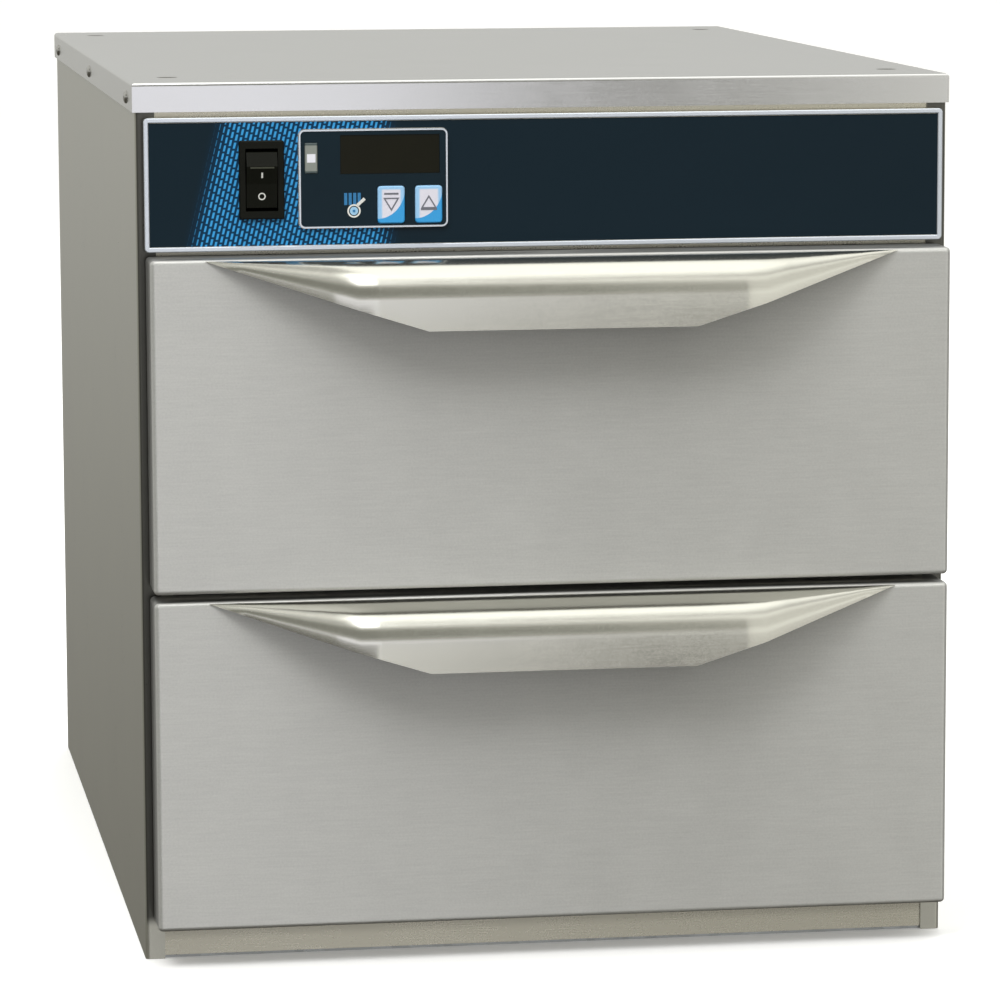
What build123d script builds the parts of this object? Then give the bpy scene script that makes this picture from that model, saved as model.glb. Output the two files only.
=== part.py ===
"""Countertop warming drawer: a narrow heated cabinet with two pan drawers, in millimetres.

+Z is up, the drawers face -Y, and the origin is the middle of the footprint, on the counter.
"""

from build123d import *
from math import cos, radians, sin
import os

os.makedirs("parts", exist_ok=True)

# ---------------------------------------------------------------- driving dimensions
# Cabinet
SIDE_WALL = 23.5  # cavity to the outside of the top cover
REAR_WALL = 40.0  # cavity to the outside of the cover, front and rear together
SHEET = 1.2  # casing sheet
BEND = 2.0  # outside radius of a folded edge
COVER_FLANGE = 15.0
STILE_WIDTH = 10.0  # front return of each side panel
REAR_RETURN = 14.0
FRAME_LIFT = 1.6  # the front frame's lower edge stays off the counter
PAN_UPSTAND = 16.0  # turned-up edge of the base pan
LEG_INSET_X = 32.0
LEG_INSET_Y = 45.0
LEG_BORE = 8.5  # tapping size of an M10 leg or caster
LEG_NUT = 17.0
LEG_NUT_HEIGHT = 10.0
PLUG_BORE = 10.5
PLUG_INSET_X = 22.0
PLUG_INSET_Y = 48.0
PLUG_LIP = 0.7  # snap lip, wider than the bore
PLUG_TAIL = 3.0  # below the cover's sheet
PLUG_FIT = 0.15
PLUG_SIDES = 16
PLUG_SLOPE = 25.0  # side of a plug's tail, degrees
SCREW_HEAD = 7.0  # across the corners of a hexagonal head
SCREW_RISE = 1.5
REAR_SCREW_SHARES = (0.06, 0.36, 0.63, 0.9)  # of the height
COVER_SCREW_INSET = 38.0
COVER_SCREW_DROP = 9.0
COVER_FIT = 0.9  # panels stay clear of the cover's inside bends

# Drawers
DRAWER_MARGIN = 5.5  # side of the cover to a drawer front's edge
OPENING_MARGIN = 6.25  # cavity to the edge of a drawer front, above and below
DRAWER_GAP = 4.0  # between the two drawer fronts
DRAWER_FLOOR = 20.6  # lower edge of the lower drawer front
DRAWER_PROUD = 30.0  # face of a closed drawer, ahead of the stiles
SEAL_GAP = 3.5  # back of a closed drawer front to the stiles
DRAWER_BEND = 2.4
HANDLE_REACH = 27.0  # lip, ahead of the drawer face
HANDLE_ROUND = 19.0  # outside radius of the hood's shoulder
HOOD_STEPS = 9  # flats round the shoulder
HANDLE_DROP = 34.5  # hood, top to lower edge
HANDLE_TIP = 178.0  # middle of the drawer to where the hood dies into it
HANDLE_SHOULDER = 104.0  # middle of the drawer to the end of the straight hood
HEM_HALF = 60.5
HEM_HEIGHT = 3.2
HEM_THICK = 2.6
HEM_ROUND = 1.2
HEM_RUN = 8.0  # end of the hem to the start of the sloping lower edge
HOOD_SET = 0.8  # top of the hood, under the drawer's top
FLANGE_DROP = 15.0  # welding flange of the hood, on the drawer's face
GASKET_WIDTH = 4.2
GASKET_INSET = 0.7  # lip of the opening to the gasket

# Warm cavities
LINER_CLEAR = 13.0  # behind the pan carrier
LINER_SHEET = 1.0
LINER_ROUND = 6.0
LINER_FIT = 0.3
CABLE_WIDTH = 5.0
CABLE_THICK = 2.5
CABLE_RUNS = 3
CABLE_PITCH = 48.0
CABLE_END = 34.0

# Slides and pan carrier
SLIDE_START = 4.0  # behind the front frame
SLIDE_CLEAR = 12.0  # behind the slides
SLIDE_HEIGHT = 46.0
SLIDE_WIDTH = 12.7
SLIDE_SHEET = 1.5
SLIDE_FIT = 0.3  # between the members
BALL_SPACE = 4.2  # height of a ball row, between two flanges
OUTER_LIP = 1.5  # fixed member's flange, short of the carrier
SLIDE_DROP = 38.0  # pan ledge to the slide's middle
CARRIER_SIDE = 12.3  # pan rim to the side of its carrier
CARRIER_END = 6.5  # pan rim to the carrier's front or rear end
CARRIER_SKIRT = 60.0
LEDGE_CLEAR = 4.2  # top of the cavity to the ledge
PAN_WIDTH = 325.0  # over the rim, a full-size pan
PAN_LENGTH = 530.0
PAN_DEPTH = 150.0
PAN_FLOOR_CLEAR = 2.8
PAN_RIM = 9.8
RIM_ROUND = 16.0
RIM_THICK = 1.4
PAN_SHEET = 0.9
PAN_TAPER = 3.0
PAN_CORNER = 45.0
CORNER_STEPS = 6  # flats round a pan's corner
PAN_FOOT = 16.0  # bevelled foot of the pan
PAN_CLEAR = 3.0  # pan body to the ledge's inner edge

# Control panel
CONTROL_PROUD = 7.0
PANEL_OVER = 0.5  # past a drawer front, each side
PANEL_MARGIN = 8.9  # controller to the panel's upper or lower edge
PANEL_RISE = 2.2  # over the upper drawer front
PANEL_SHADOW = 2.6  # top of the panel to the cover's lower edge
TRIM_WIDTH = 2.4
TRIM_THICK = 1.3
EDGE_BREAK = 0.4
OVERLAY_THICK = 0.6
OVERLAY_FIT = 0.2
BAY_MARGIN_X = 30.0  # front frame's window, inside the control panel
BAY_MARGIN_Z = 7.0
CONTROL_ACROSS = 56.9  # middle of the switch to the middle of the controller
CONTROL_UP = 36.0  # middle of the controller, over the panel's lower edge
CONTROL_WIDTH = 75.8
CONTROL_HEIGHT = 49.8
CONTROL_ROUND = 3.0
RING_WIDTH = 0.8
RING_THICK = 2.3
FASCIA_THICK = 2.0
CONTROL_MARGIN = 1.1  # seat of the controller on the panel
SNAP_FIT = 0.3  # around what snaps into the panel
LENS_FIT = 0.1
CASE_DEPTH = 34.0
CASE_WALL = 1.6
CASE_LIP = 0.8
CASE_EAR = 4.0
CASE_BROW = 2.0
BOARD_BACK = 8.5  # case flange to the board's face
BOARD_MARGIN = 0.3
KEY_SWITCH = 6.0
KEY_SWITCH_RISE = 3.0
DISPLAY_RISE = 6.0
CHIP_RISE = 9.0
CHIP_ACROSS = (-22.0, -4.0, 16.0)
DISPLAY_ENDS = (21.0, 4.0)  # from the controller's left and right ends
DISPLAY_UP = 12.15  # over the controller's middle
DISPLAY_HEIGHT = 19.8
LAMP_INSET = 6.2  # left end of the controller to the lamp's middle
LAMP_UP = 10.55
LAMP_SIZE = (6.5, 15.6)
LAMP_BACK = 2.4
KEY_INSET = 9.8  # right end of the controller to the middle of the last key
KEY_PITCH = 19.2
KEY_UP = -13.5
KEY_WIDTH = 13.8
KEY_HEIGHT = 18.9
KEY_ROUND = 1.6
KEY_STEPS = 3  # flats round a key's corner
KEY_CLEAR = 0.35
KEY_PROUD = 0.8
KEY_TRAVEL = 0.6
KEY_FLANGE = 0.8
KEY_LIP = 0.6
KEY_STEM = 3.6
KEY_SOFT = 0.5  # bevel of a cap's rim
KEY_REST = 0.3  # stem to its switch, past the travel
SWITCH_INSET = 59.3  # left end of the panel to the middle of the switch
SWITCH_UP = 36.0
BEZEL_WIDTH = 22.9
BEZEL_HEIGHT = 39.7
BEZEL_THICK = 2.2
BEZEL_ROUND = 1.2
BEZEL_EDGE = 0.6
SWITCH_BODY_WIDTH = 19.6
SWITCH_BODY_HEIGHT = 35.6
SWITCH_DEPTH = 24.0
ROCKER_WIDTH = 15.6
ROCKER_CLEAR = 0.45
ROCKER_PIVOT = 6.0  # pivot behind the bezel's face
PIVOT_RADIUS = 1.5
PIVOT_FIT = 0.08
PIVOT_IN = 1.2  # stub pins' holes in the housing
PIVOT_END = 0.1  # a pin, short of its hole's end
ROCKER_END = 15.4  # pivot to the ends of the rocker
ROCKER_WELL = 10.0  # room behind the pivot
BLADE = (0.8, 6.3)  # flat connector blades
BLADE_LENGTH = 9.0

# Inside the control bay and at the rear
SHELF_LIFT = 2.5  # shelf over the upper cavity
BOARD_THICK = 1.6
BATT_CLEAR = 0.4
GLAND_INSET = 61.0  # side of the cover to the middle of the gland
GLAND_BORE = 9.0
GLAND_NUT = 24.0
GLAND_OUT = 8.0
GLAND_IN = 12.0
GLAND_THREAD = 16.0
GLAND_FIT = 0.3
GLAND_EDGE = 1.5
VENT_COUNT = 9
VENT_PITCH = 9.0
VENT_WIDTH = 3.5
VENT_LENGTH = 30.0
CORE_AT = (-60.0, 150.0)  # transformer: across, behind the front frame
CORE_SIZE = (40.0, 34.0, 38.0)
CORE_FOOT = (46.0, 62.0, 3.0)
COIL_SIZE = (26.0, 50.0, 22.0)
COIL_UP = 8.0
COIL_ROUND = 5.0
RELAY_AT = (40.0, 150.0)
RELAY_SIZE = (50.0, 30.0, 32.0)
RELAY_PINS = (10.0, 16.0)
TERMINAL_BACK = 70.0  # terminal block, ahead of the rear panel
TERMINAL_SIZE = (60.0, 24.0, 18.0)
TERMINAL_PITCH = 14.0
TERMINAL_WELL = (9.0, 8.0)
CUTOUT_AT = (120.0, 260.0)  # limit thermostat
CUTOUT_RADIUS = 12.0
CUTOUT_HEIGHT = 10.0
CUTOUT_FLANGE = (38.0, 10.0, 1.5)
SENSOR_INSET = 47.5  # side of the cavity to the sensor
SENSOR_DROP = 22.0  # under the cavity's ceiling
SENSOR_RADIUS = 2.4
SENSOR_REACH = 7.0
SENSOR_FLANGE = (20.0, 10.0, 1.2)

# ---------------------------------------------------------------- derived places
CARRIER_WIDTH = PAN_WIDTH + 2 * CARRIER_SIDE
CARRIER_DEPTH = PAN_LENGTH + 2 * CARRIER_END
LINER_WIDTH = CARRIER_WIDTH + 2 * SLIDE_WIDTH
LINER_HEIGHT = PAN_DEPTH + LEDGE_CLEAR + PAN_FLOOR_CLEAR
LINER_DEPTH = CARRIER_DEPTH + LINER_CLEAR
SLIDE_LENGTH = LINER_DEPTH - SLIDE_START - SLIDE_CLEAR
DRAWER_HEIGHT = LINER_HEIGHT + 2 * OPENING_MARGIN
PANEL_HEIGHT = CONTROL_HEIGHT + 2 * PANEL_MARGIN
PANEL_LOW = DRAWER_FLOOR + 2 * DRAWER_HEIGHT + DRAWER_GAP + PANEL_RISE
BODY_WIDTH = LINER_WIDTH + 2 * SIDE_WALL  # across the top cover
BODY_DEPTH = LINER_DEPTH + REAR_WALL  # over the cover's front and rear flanges
BODY_HEIGHT = PANEL_LOW + PANEL_HEIGHT + PANEL_SHADOW + COVER_FLANGE
DRAWER_WIDTH = BODY_WIDTH - 2 * DRAWER_MARGIN
PANEL_WIDTH = DRAWER_WIDTH + 2 * PANEL_OVER

CASE_WIDTH = BODY_WIDTH - 2 * SHEET  # over the side panels
CASE_INSIDE = CASE_WIDTH - 2 * SHEET
CASE_TOP = BODY_HEIGHT - SHEET - COVER_FIT
FRONT_REACH = DRAWER_PROUD + HANDLE_REACH
Y_STILE = FRONT_REACH - (FRONT_REACH + BODY_DEPTH - 2 * SHEET + GLAND_OUT) / 2
Y_FRAME = Y_STILE + SHEET  # front of the front frame
Y_REAR = Y_STILE + BODY_DEPTH - 2 * SHEET  # outside of the rear panel
COVER_Y = (Y_STILE + Y_REAR) / 2
Y_FACE = Y_STILE - DRAWER_PROUD  # drawer face
Y_BACK = Y_STILE - SEAL_GAP  # back of a drawer front
Y_PANEL = Y_STILE - CONTROL_PROUD  # face of the control panel
Y_OVERLAY = Y_PANEL - OVERLAY_THICK
Y_LINER_END = Y_FRAME + LINER_DEPTH
Y_BATT_END = Y_REAR - SHEET - SHEET - BATT_CLEAR  # clear of the side panels' rear returns
LEG_SAFE_X = BODY_WIDTH / 2 - LEG_INSET_X - LEG_NUT / 2 - BATT_CLEAR

DRAWER_LOW = {"lower": DRAWER_FLOOR, "upper": DRAWER_FLOOR + DRAWER_HEIGHT + DRAWER_GAP}
LINER_LIP = (DRAWER_HEIGHT - LINER_HEIGHT) / 2
PANEL_MID = PANEL_LOW + PANEL_HEIGHT / 2
SWITCH_X = SWITCH_INSET - PANEL_WIDTH / 2
CONTROL_X = SWITCH_X + CONTROL_ACROSS
DISPLAY = (  # across and up from the controller's middle, width, height
    (DISPLAY_ENDS[0] - DISPLAY_ENDS[1]) / 2, DISPLAY_UP, CONTROL_WIDTH - sum(DISPLAY_ENDS),
    DISPLAY_HEIGHT,
)
LAMP = (LAMP_INSET - CONTROL_WIDTH / 2, LAMP_UP, *LAMP_SIZE)
KEY_ACROSS = (CONTROL_WIDTH / 2 - KEY_INSET - KEY_PITCH, CONTROL_WIDTH / 2 - KEY_INSET)
GLAND_X = GLAND_INSET - BODY_WIDTH / 2
SENSOR_X = LINER_WIDTH / 2 - SENSOR_INSET
CONTROL_Z = PANEL_LOW + CONTROL_UP
SWITCH_Z = PANEL_LOW + SWITCH_UP
SHELF_Z = DRAWER_LOW["upper"] + LINER_LIP + LINER_HEIGHT + LINER_SHEET + SHELF_LIFT

LINER_OUT_X = LINER_WIDTH / 2 + LINER_SHEET
SLIDE_X = LINER_WIDTH / 2  # back of the fixed slide
CARRIER_X = SLIDE_X - SLIDE_WIDTH  # outside of the pan carrier
Y_SLIDE_END = Y_FRAME + SLIDE_START + SLIDE_LENGTH
PAN_BODY_X = PAN_WIDTH - 2 * PAN_RIM
PAN_BODY_Y = PAN_LENGTH - 2 * PAN_RIM
PAN_Y = Y_BACK + CARRIER_DEPTH / 2


# ---------------------------------------------------------------- small helpers
def facing(y):
    """Plane across the cabinet at depth y: local x is X, local y is Z, forward is the normal."""
    return Plane.XZ.offset(-y)


def side_on(x):
    """Plane along the cabinet at width x: local x is Y, local y is Z, its normal is +X."""
    return Plane.YZ.offset(x)


def level(z):
    return Plane.XY.offset(z)


def soft_corners(width, height, radius, steps):
    """Points of a rectangle whose corners are rounded in a few flat steps."""
    points = []
    for corner in range(4):
        across = (width / 2 - radius) * (1 if corner in (0, 3) else -1)
        up = (height / 2 - radius) * (1 if corner < 2 else -1)
        for step in range(steps + 1):
            turn = radians(90 * (corner + step / steps))
            points.append((across + radius * cos(turn), up + radius * sin(turn)))
    return points


def save(part, name):
    part.label = name
    export_step(part, f"parts/{name}.step")


def liner_low(drawer):
    return DRAWER_LOW[drawer] + LINER_LIP


def ledge_z(drawer):
    return liner_low(drawer) + LINER_HEIGHT - LEDGE_CLEAR


def slide_z(drawer):
    return ledge_z(drawer) - SLIDE_DROP


# ---------------------------------------------------------------- cabinet shell
LEG_POINTS = [
    (sx * (BODY_WIDTH / 2 - LEG_INSET_X), COVER_Y + sy * (BODY_DEPTH / 2 - LEG_INSET_Y))
    for sx in (-1, 1)
    for sy in (-1, 1)
]
PLUG_POINTS = [
    (sx * (BODY_WIDTH / 2 - PLUG_INSET_X), COVER_Y + sy * (BODY_DEPTH / 2 - PLUG_INSET_Y))
    for sx in (-1, 1)
    for sy in (-1, 1)
]
COVER_SCREW_Y = [COVER_Y + k * (BODY_DEPTH / 2 - COVER_SCREW_INSET) for k in (-1, 0, 1)]
COVER_SCREW_Z = BODY_HEIGHT - COVER_SCREW_DROP
REAR_SCREWS = [
    (sx * (CASE_WIDTH / 2 - REAR_RETURN / 2), BODY_HEIGHT * share)
    for sx in (-1, 1)
    for share in REAR_SCREW_SHARES
]


def make_top_cover():
    with BuildPart() as top_cover:
        with BuildSketch(level(BODY_HEIGHT)):
            with Locations((0, COVER_Y)):
                Rectangle(BODY_WIDTH, BODY_DEPTH)
        extrude(amount=-COVER_FLANGE)
        fillet(top_cover.faces().sort_by(Axis.Z)[-1].edges(), BEND)
        offset(amount=-SHEET, openings=top_cover.faces().sort_by(Axis.Z)[0])
        with BuildSketch(level(BODY_HEIGHT)):
            with Locations(*PLUG_POINTS):
                RegularPolygon(PLUG_BORE / 2, PLUG_SIDES)
        extrude(amount=-SHEET, mode=Mode.SUBTRACT)
    save(top_cover.part, "top_cover")


def make_screws():
    """Hexagonal heads: three each side of the cover, eight round the rear panel."""
    with BuildPart() as cover_screws:
        for side in (-1, 1):
            with BuildSketch(side_on(side * BODY_WIDTH / 2)):
                with Locations(*[(y, COVER_SCREW_Z) for y in COVER_SCREW_Y]):
                    RegularPolygon(SCREW_HEAD / 2, 6)
            extrude(amount=side * SCREW_RISE)
    save(cover_screws.part, "cover_screws")

    with BuildPart() as rear_panel_screws:
        with BuildSketch(facing(Y_REAR)):
            with Locations(*REAR_SCREWS):
                RegularPolygon(SCREW_HEAD / 2, 6)
        extrude(amount=-SCREW_RISE)
    save(rear_panel_screws.part, "rear_panel_screws")


def make_hole_plugs():
    """Flush snap plugs that close the stacking holes in the cover."""
    with BuildPart() as hole_plugs:
        with BuildSketch(level(BODY_HEIGHT)):
            with Locations(*PLUG_POINTS):
                RegularPolygon(PLUG_BORE / 2 - PLUG_FIT, PLUG_SIDES)
        extrude(amount=-SHEET)
        with BuildSketch(level(BODY_HEIGHT - SHEET)):
            with Locations(*PLUG_POINTS):
                RegularPolygon(PLUG_BORE / 2 + PLUG_LIP, PLUG_SIDES)
        extrude(amount=-PLUG_TAIL, taper=PLUG_SLOPE)
    save(hole_plugs.part, "hole_plugs")


def make_side_panel(name, side):
    """One folded sheet: wide web, front return (the visible stile) and a rear return."""
    web = side * CASE_WIDTH / 2
    inner = side * (CASE_WIDTH / 2 - SHEET)
    front_lip = side * (CASE_WIDTH / 2 - STILE_WIDTH)
    rear_lip = side * (CASE_WIDTH / 2 - REAR_RETURN)
    y_rear = Y_REAR - SHEET
    with BuildPart() as side_panel:
        with BuildSketch(level(0)) as profile:
            with BuildLine():
                Polyline(
                    (front_lip, Y_STILE), (web, Y_STILE), (web, y_rear), (rear_lip, y_rear),
                    (rear_lip, y_rear - SHEET), (inner, y_rear - SHEET),
                    (inner, Y_STILE + SHEET), (front_lip, Y_STILE + SHEET), close=True,
                )
            make_face()
            across = profile.vertices().group_by(Axis.X)
            outer_corners, inner_corners = (across[0], across[1]) if side < 0 else (
                across[-1], across[-2]
            )
            fillet(outer_corners, BEND)
            fillet(inner_corners, BEND - SHEET)
        extrude(amount=CASE_TOP)
    save(side_panel.part, name)


def make_base_pan():
    y_low = Y_FRAME + SHEET
    y_high = Y_REAR - 2 * SHEET
    with BuildPart() as base_pan:
        with BuildSketch(level(0)):
            with Locations((0, (y_low + y_high) / 2)):
                Rectangle(CASE_INSIDE, y_high - y_low)
        extrude(amount=PAN_UPSTAND)
        offset(amount=-SHEET, openings=base_pan.faces().sort_by(Axis.Z)[-1])
        with BuildSketch(level(0)):
            with Locations(*LEG_POINTS):
                Circle(LEG_BORE / 2)
        extrude(amount=SHEET, mode=Mode.SUBTRACT)
    save(base_pan.part, "base_pan")

    with BuildPart() as leg_inserts:
        with BuildSketch(level(SHEET)):
            with Locations(*LEG_POINTS):
                RegularPolygon(LEG_NUT / 2, 6)
                Circle(LEG_BORE / 2, mode=Mode.SUBTRACT)
        extrude(amount=LEG_NUT_HEIGHT)
    save(leg_inserts.part, "leg_inserts")


def make_front_frame():
    """Flat front with the two drawer openings and the window of the control bay."""
    with BuildPart() as front_frame:
        with BuildSketch(facing(Y_FRAME + SHEET)):
            with Locations((0, (FRAME_LIFT + CASE_TOP) / 2)):
                Rectangle(CASE_INSIDE, CASE_TOP - FRAME_LIFT)
            for drawer in DRAWER_LOW:
                with Locations((0, liner_low(drawer) + LINER_HEIGHT / 2)):
                    RectangleRounded(
                        LINER_WIDTH + 2 * (LINER_SHEET + LINER_FIT),
                        LINER_HEIGHT + 2 * (LINER_SHEET + LINER_FIT),
                        LINER_ROUND,
                        mode=Mode.SUBTRACT,
                    )
            with Locations((0, PANEL_MID)):
                Rectangle(
                    PANEL_WIDTH - 2 * BAY_MARGIN_X, PANEL_HEIGHT - 2 * BAY_MARGIN_Z,
                    mode=Mode.SUBTRACT,
                )
        extrude(amount=SHEET)
    save(front_frame.part, "front_frame")


def make_rear_panel():
    with BuildPart() as rear_panel:
        with BuildSketch(facing(Y_REAR)):
            with Locations((0, (FRAME_LIFT + CASE_TOP) / 2)):
                Rectangle(CASE_WIDTH - 2 * COVER_FIT, CASE_TOP - FRAME_LIFT)
            with Locations((GLAND_X, PANEL_MID)):
                Circle(GLAND_THREAD / 2, mode=Mode.SUBTRACT)
            with Locations((0, PANEL_MID)):
                with GridLocations(VENT_PITCH, 1, VENT_COUNT, 1):
                    Rectangle(VENT_WIDTH, VENT_LENGTH, mode=Mode.SUBTRACT)
        extrude(amount=SHEET)
    save(rear_panel.part, "rear_panel")

    with BuildPart() as cord_gland:
        with BuildSketch(facing(Y_REAR)):
            with Locations((GLAND_X, PANEL_MID)):
                RegularPolygon(GLAND_NUT / 2, 6)
        extrude(amount=-GLAND_OUT)
        outer_face = cord_gland.faces().sort_by(Axis.Y)[-1]
        chamfer(outer_face.edges(), GLAND_EDGE)
        with BuildSketch(facing(Y_REAR)):
            with Locations((GLAND_X, PANEL_MID)):
                RegularPolygon(GLAND_THREAD / 2 - GLAND_FIT, PLUG_SIDES)
        extrude(amount=GLAND_IN)
        with BuildSketch(facing(Y_REAR + GLAND_OUT)):
            with Locations((GLAND_X, PANEL_MID)):
                Circle(GLAND_BORE / 2)
        extrude(amount=GLAND_OUT + GLAND_IN, mode=Mode.SUBTRACT)
    save(cord_gland.part, "cord_gland")


# ---------------------------------------------------------------- warm cavities
def make_liner(drawer):
    with BuildPart() as liner:
        with BuildSketch(facing(Y_LINER_END)):
            with Locations((0, liner_low(drawer) + LINER_HEIGHT / 2)):
                RectangleRounded(
                    LINER_WIDTH + 2 * LINER_SHEET, LINER_HEIGHT + 2 * LINER_SHEET, LINER_ROUND
                )
        extrude(amount=LINER_DEPTH)
        offset(amount=-LINER_SHEET, openings=liner.faces().sort_by(Axis.Y)[0])
    save(liner.part, f"{drawer}_liner")


def cable_points(z_mid):
    """Corner points of the serpentine, as seen from the side."""
    y_near = Y_FRAME + CABLE_END
    y_far = Y_LINER_END - CABLE_END
    points = []
    for run in range(CABLE_RUNS):
        z = z_mid + (run - (CABLE_RUNS - 1) / 2) * CABLE_PITCH
        ends = [(y_near, z), (y_far, z)]
        if run % 2 == 0:
            ends.reverse()
        points += ends
    points[0] = (Y_LINER_END + CABLE_THICK, points[0][1])
    return points


def make_heating_cable(drawer):
    """Flat heating cable: a serpentine on each side of the cavity, joined behind it."""
    z_mid = liner_low(drawer) + LINER_HEIGHT / 2
    z_link = cable_points(z_mid)[0][1]
    with BuildPart() as heating_cable:
        for side in (-1, 1):
            with BuildSketch(side_on(side * LINER_OUT_X)):
                with BuildLine():
                    Polyline(*cable_points(z_mid))
                trace(line_width=CABLE_WIDTH)
            extrude(amount=side * CABLE_THICK)
        with BuildSketch(facing(Y_LINER_END)):
            with Locations((0, z_link)):
                Rectangle(2 * (LINER_OUT_X + CABLE_THICK), CABLE_WIDTH)
        extrude(amount=-CABLE_THICK)
    save(heating_cable.part, f"{drawer}_heating_cable")


def make_batt(name, low, high):
    """A glass-fibre batt that fills the space between two corners."""
    with BuildPart() as batt:
        with BuildSketch(level(low[2])):
            with Locations(((low[0] + high[0]) / 2, (low[1] + high[1]) / 2)):
                Rectangle(high[0] - low[0], high[1] - low[1])
        extrude(amount=high[2] - low[2])
    save(batt.part, name)


def make_insulation():
    y_low = Y_FRAME + SHEET
    x_in = LINER_OUT_X + CABLE_THICK + BATT_CLEAR
    x_out = CASE_INSIDE / 2
    bottom = PAN_UPSTAND + BATT_CLEAR
    for name, side in (("left_insulation", -1), ("right_insulation", 1)):
        ends = sorted((side * x_in, side * x_out))
        make_batt(name, (ends[0], y_low, bottom), (ends[1], Y_BATT_END, SHELF_Z))
    y_rear_batt = Y_LINER_END + CABLE_THICK + BATT_CLEAR
    make_batt("rear_insulation", (-x_in, y_rear_batt, bottom), (x_in, Y_BATT_END, SHELF_Z))
    low_top = liner_low("lower") + LINER_HEIGHT + LINER_SHEET
    high_floor = liner_low("upper") - LINER_SHEET
    make_batt(
        "middle_insulation", (-LINER_OUT_X, y_low, low_top), (LINER_OUT_X, Y_LINER_END, high_floor)
    )
    floor = liner_low("lower") - LINER_SHEET
    make_batt(
        "bottom_insulation", (-LEG_SAFE_X, y_low + SHEET, SHEET), (LEG_SAFE_X, Y_LINER_END, floor)
    )


# ---------------------------------------------------------------- slides
MID_HEIGHT = SLIDE_HEIGHT - 2 * SLIDE_SHEET - 2 * BALL_SPACE
INNER_HEIGHT = MID_HEIGHT - 2 * SLIDE_SHEET - 2 * BALL_SPACE
MID_WEB = SLIDE_X - SLIDE_SHEET - SLIDE_FIT
OUTER_REACH = SLIDE_WIDTH - OUTER_LIP
INNER_REACH = SLIDE_WIDTH - 2 * SLIDE_SHEET - 2 * SLIDE_FIT
MID_REACH = MID_WEB - CARRIER_X - SLIDE_SHEET - SLIDE_FIT


def slide_section(web, reach, height, z):
    """C-sections of a pair of slide members; a negative reach opens them towards the drawer."""
    wall = SLIDE_SHEET if reach > 0 else -SLIDE_SHEET
    with BuildSketch(facing(Y_SLIDE_END)) as section:
        for side in (-1, 1):
            with Locations((side * (web + reach / 2), z)):
                Rectangle(abs(reach), height)
            with Locations((side * (web + (reach + wall) / 2), z)):
                Rectangle(abs(reach - wall), height - 2 * SLIDE_SHEET, mode=Mode.SUBTRACT)
    return section.sketch


def make_slides(drawer):
    z = slide_z(drawer)
    with BuildPart() as outer_slides:
        extrude(slide_section(SLIDE_X, -OUTER_REACH, SLIDE_HEIGHT, z), amount=SLIDE_LENGTH)
    save(outer_slides.part, f"{drawer}_outer_slides")
    with BuildPart() as mid_slides:
        extrude(slide_section(MID_WEB, -MID_REACH, MID_HEIGHT, z), amount=SLIDE_LENGTH)
    save(mid_slides.part, f"{drawer}_mid_slides")
    with BuildPart() as inner_slides:
        extrude(slide_section(CARRIER_X, INNER_REACH, INNER_HEIGHT, z), amount=SLIDE_LENGTH)
    save(inner_slides.part, f"{drawer}_inner_slides")


# ---------------------------------------------------------------- drawers
def make_drawer_front(drawer):
    low = DRAWER_LOW[drawer]
    mid = low + DRAWER_HEIGHT / 2
    y_plate = Y_BACK - SHEET  # front of the inner panel
    with BuildPart() as drawer_front:
        with BuildSketch(facing(y_plate)):
            with Locations((0, mid)):
                Rectangle(DRAWER_WIDTH, DRAWER_HEIGHT)
        extrude(amount=y_plate - Y_FACE)
        face_edges = drawer_front.faces().sort_by(Axis.Y)[0].edges()
        fillet(face_edges + drawer_front.edges().filter_by(Axis.Y), DRAWER_BEND)
        with BuildSketch(facing(y_plate)):
            with Locations((0, mid)):
                Rectangle(DRAWER_WIDTH - 2 * SHEET, DRAWER_HEIGHT - 2 * SHEET)
        extrude(amount=y_plate - Y_FACE - SHEET, mode=Mode.SUBTRACT)
    save(drawer_front.part, f"{drawer}_drawer_front")

    with BuildPart() as drawer_inner_panel:
        with BuildSketch(facing(Y_BACK)):
            with Locations((0, mid)):
                Rectangle(DRAWER_WIDTH - 2 * SHEET, DRAWER_HEIGHT - 2 * SHEET)
        extrude(amount=SHEET)
    save(drawer_inner_panel.part, f"{drawer}_drawer_inner_panel")

    with BuildPart() as drawer_insulation:
        with BuildSketch(facing(y_plate)):
            with Locations((0, mid)):
                Rectangle(
                    DRAWER_WIDTH - 2 * (DRAWER_BEND + BATT_CLEAR),
                    DRAWER_HEIGHT - 2 * (DRAWER_BEND + BATT_CLEAR),
                )
        extrude(amount=y_plate - Y_FACE - SHEET)
    save(drawer_insulation.part, f"{drawer}_drawer_insulation")

    with BuildPart() as drawer_gasket:
        inner_x = LINER_WIDTH + 2 * (LINER_SHEET + GASKET_INSET)
        inner_z = LINER_HEIGHT + 2 * (LINER_SHEET + GASKET_INSET)
        with BuildSketch(facing(Y_FRAME - LINER_FIT)):
            with Locations((0, liner_low(drawer) + LINER_HEIGHT / 2)):
                Rectangle(inner_x + 2 * GASKET_WIDTH, inner_z + 2 * GASKET_WIDTH)
                Rectangle(inner_x, inner_z, mode=Mode.SUBTRACT)
        extrude(amount=Y_FRAME - LINER_FIT - Y_BACK)
    save(drawer_gasket.part, f"{drawer}_drawer_gasket")


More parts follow.
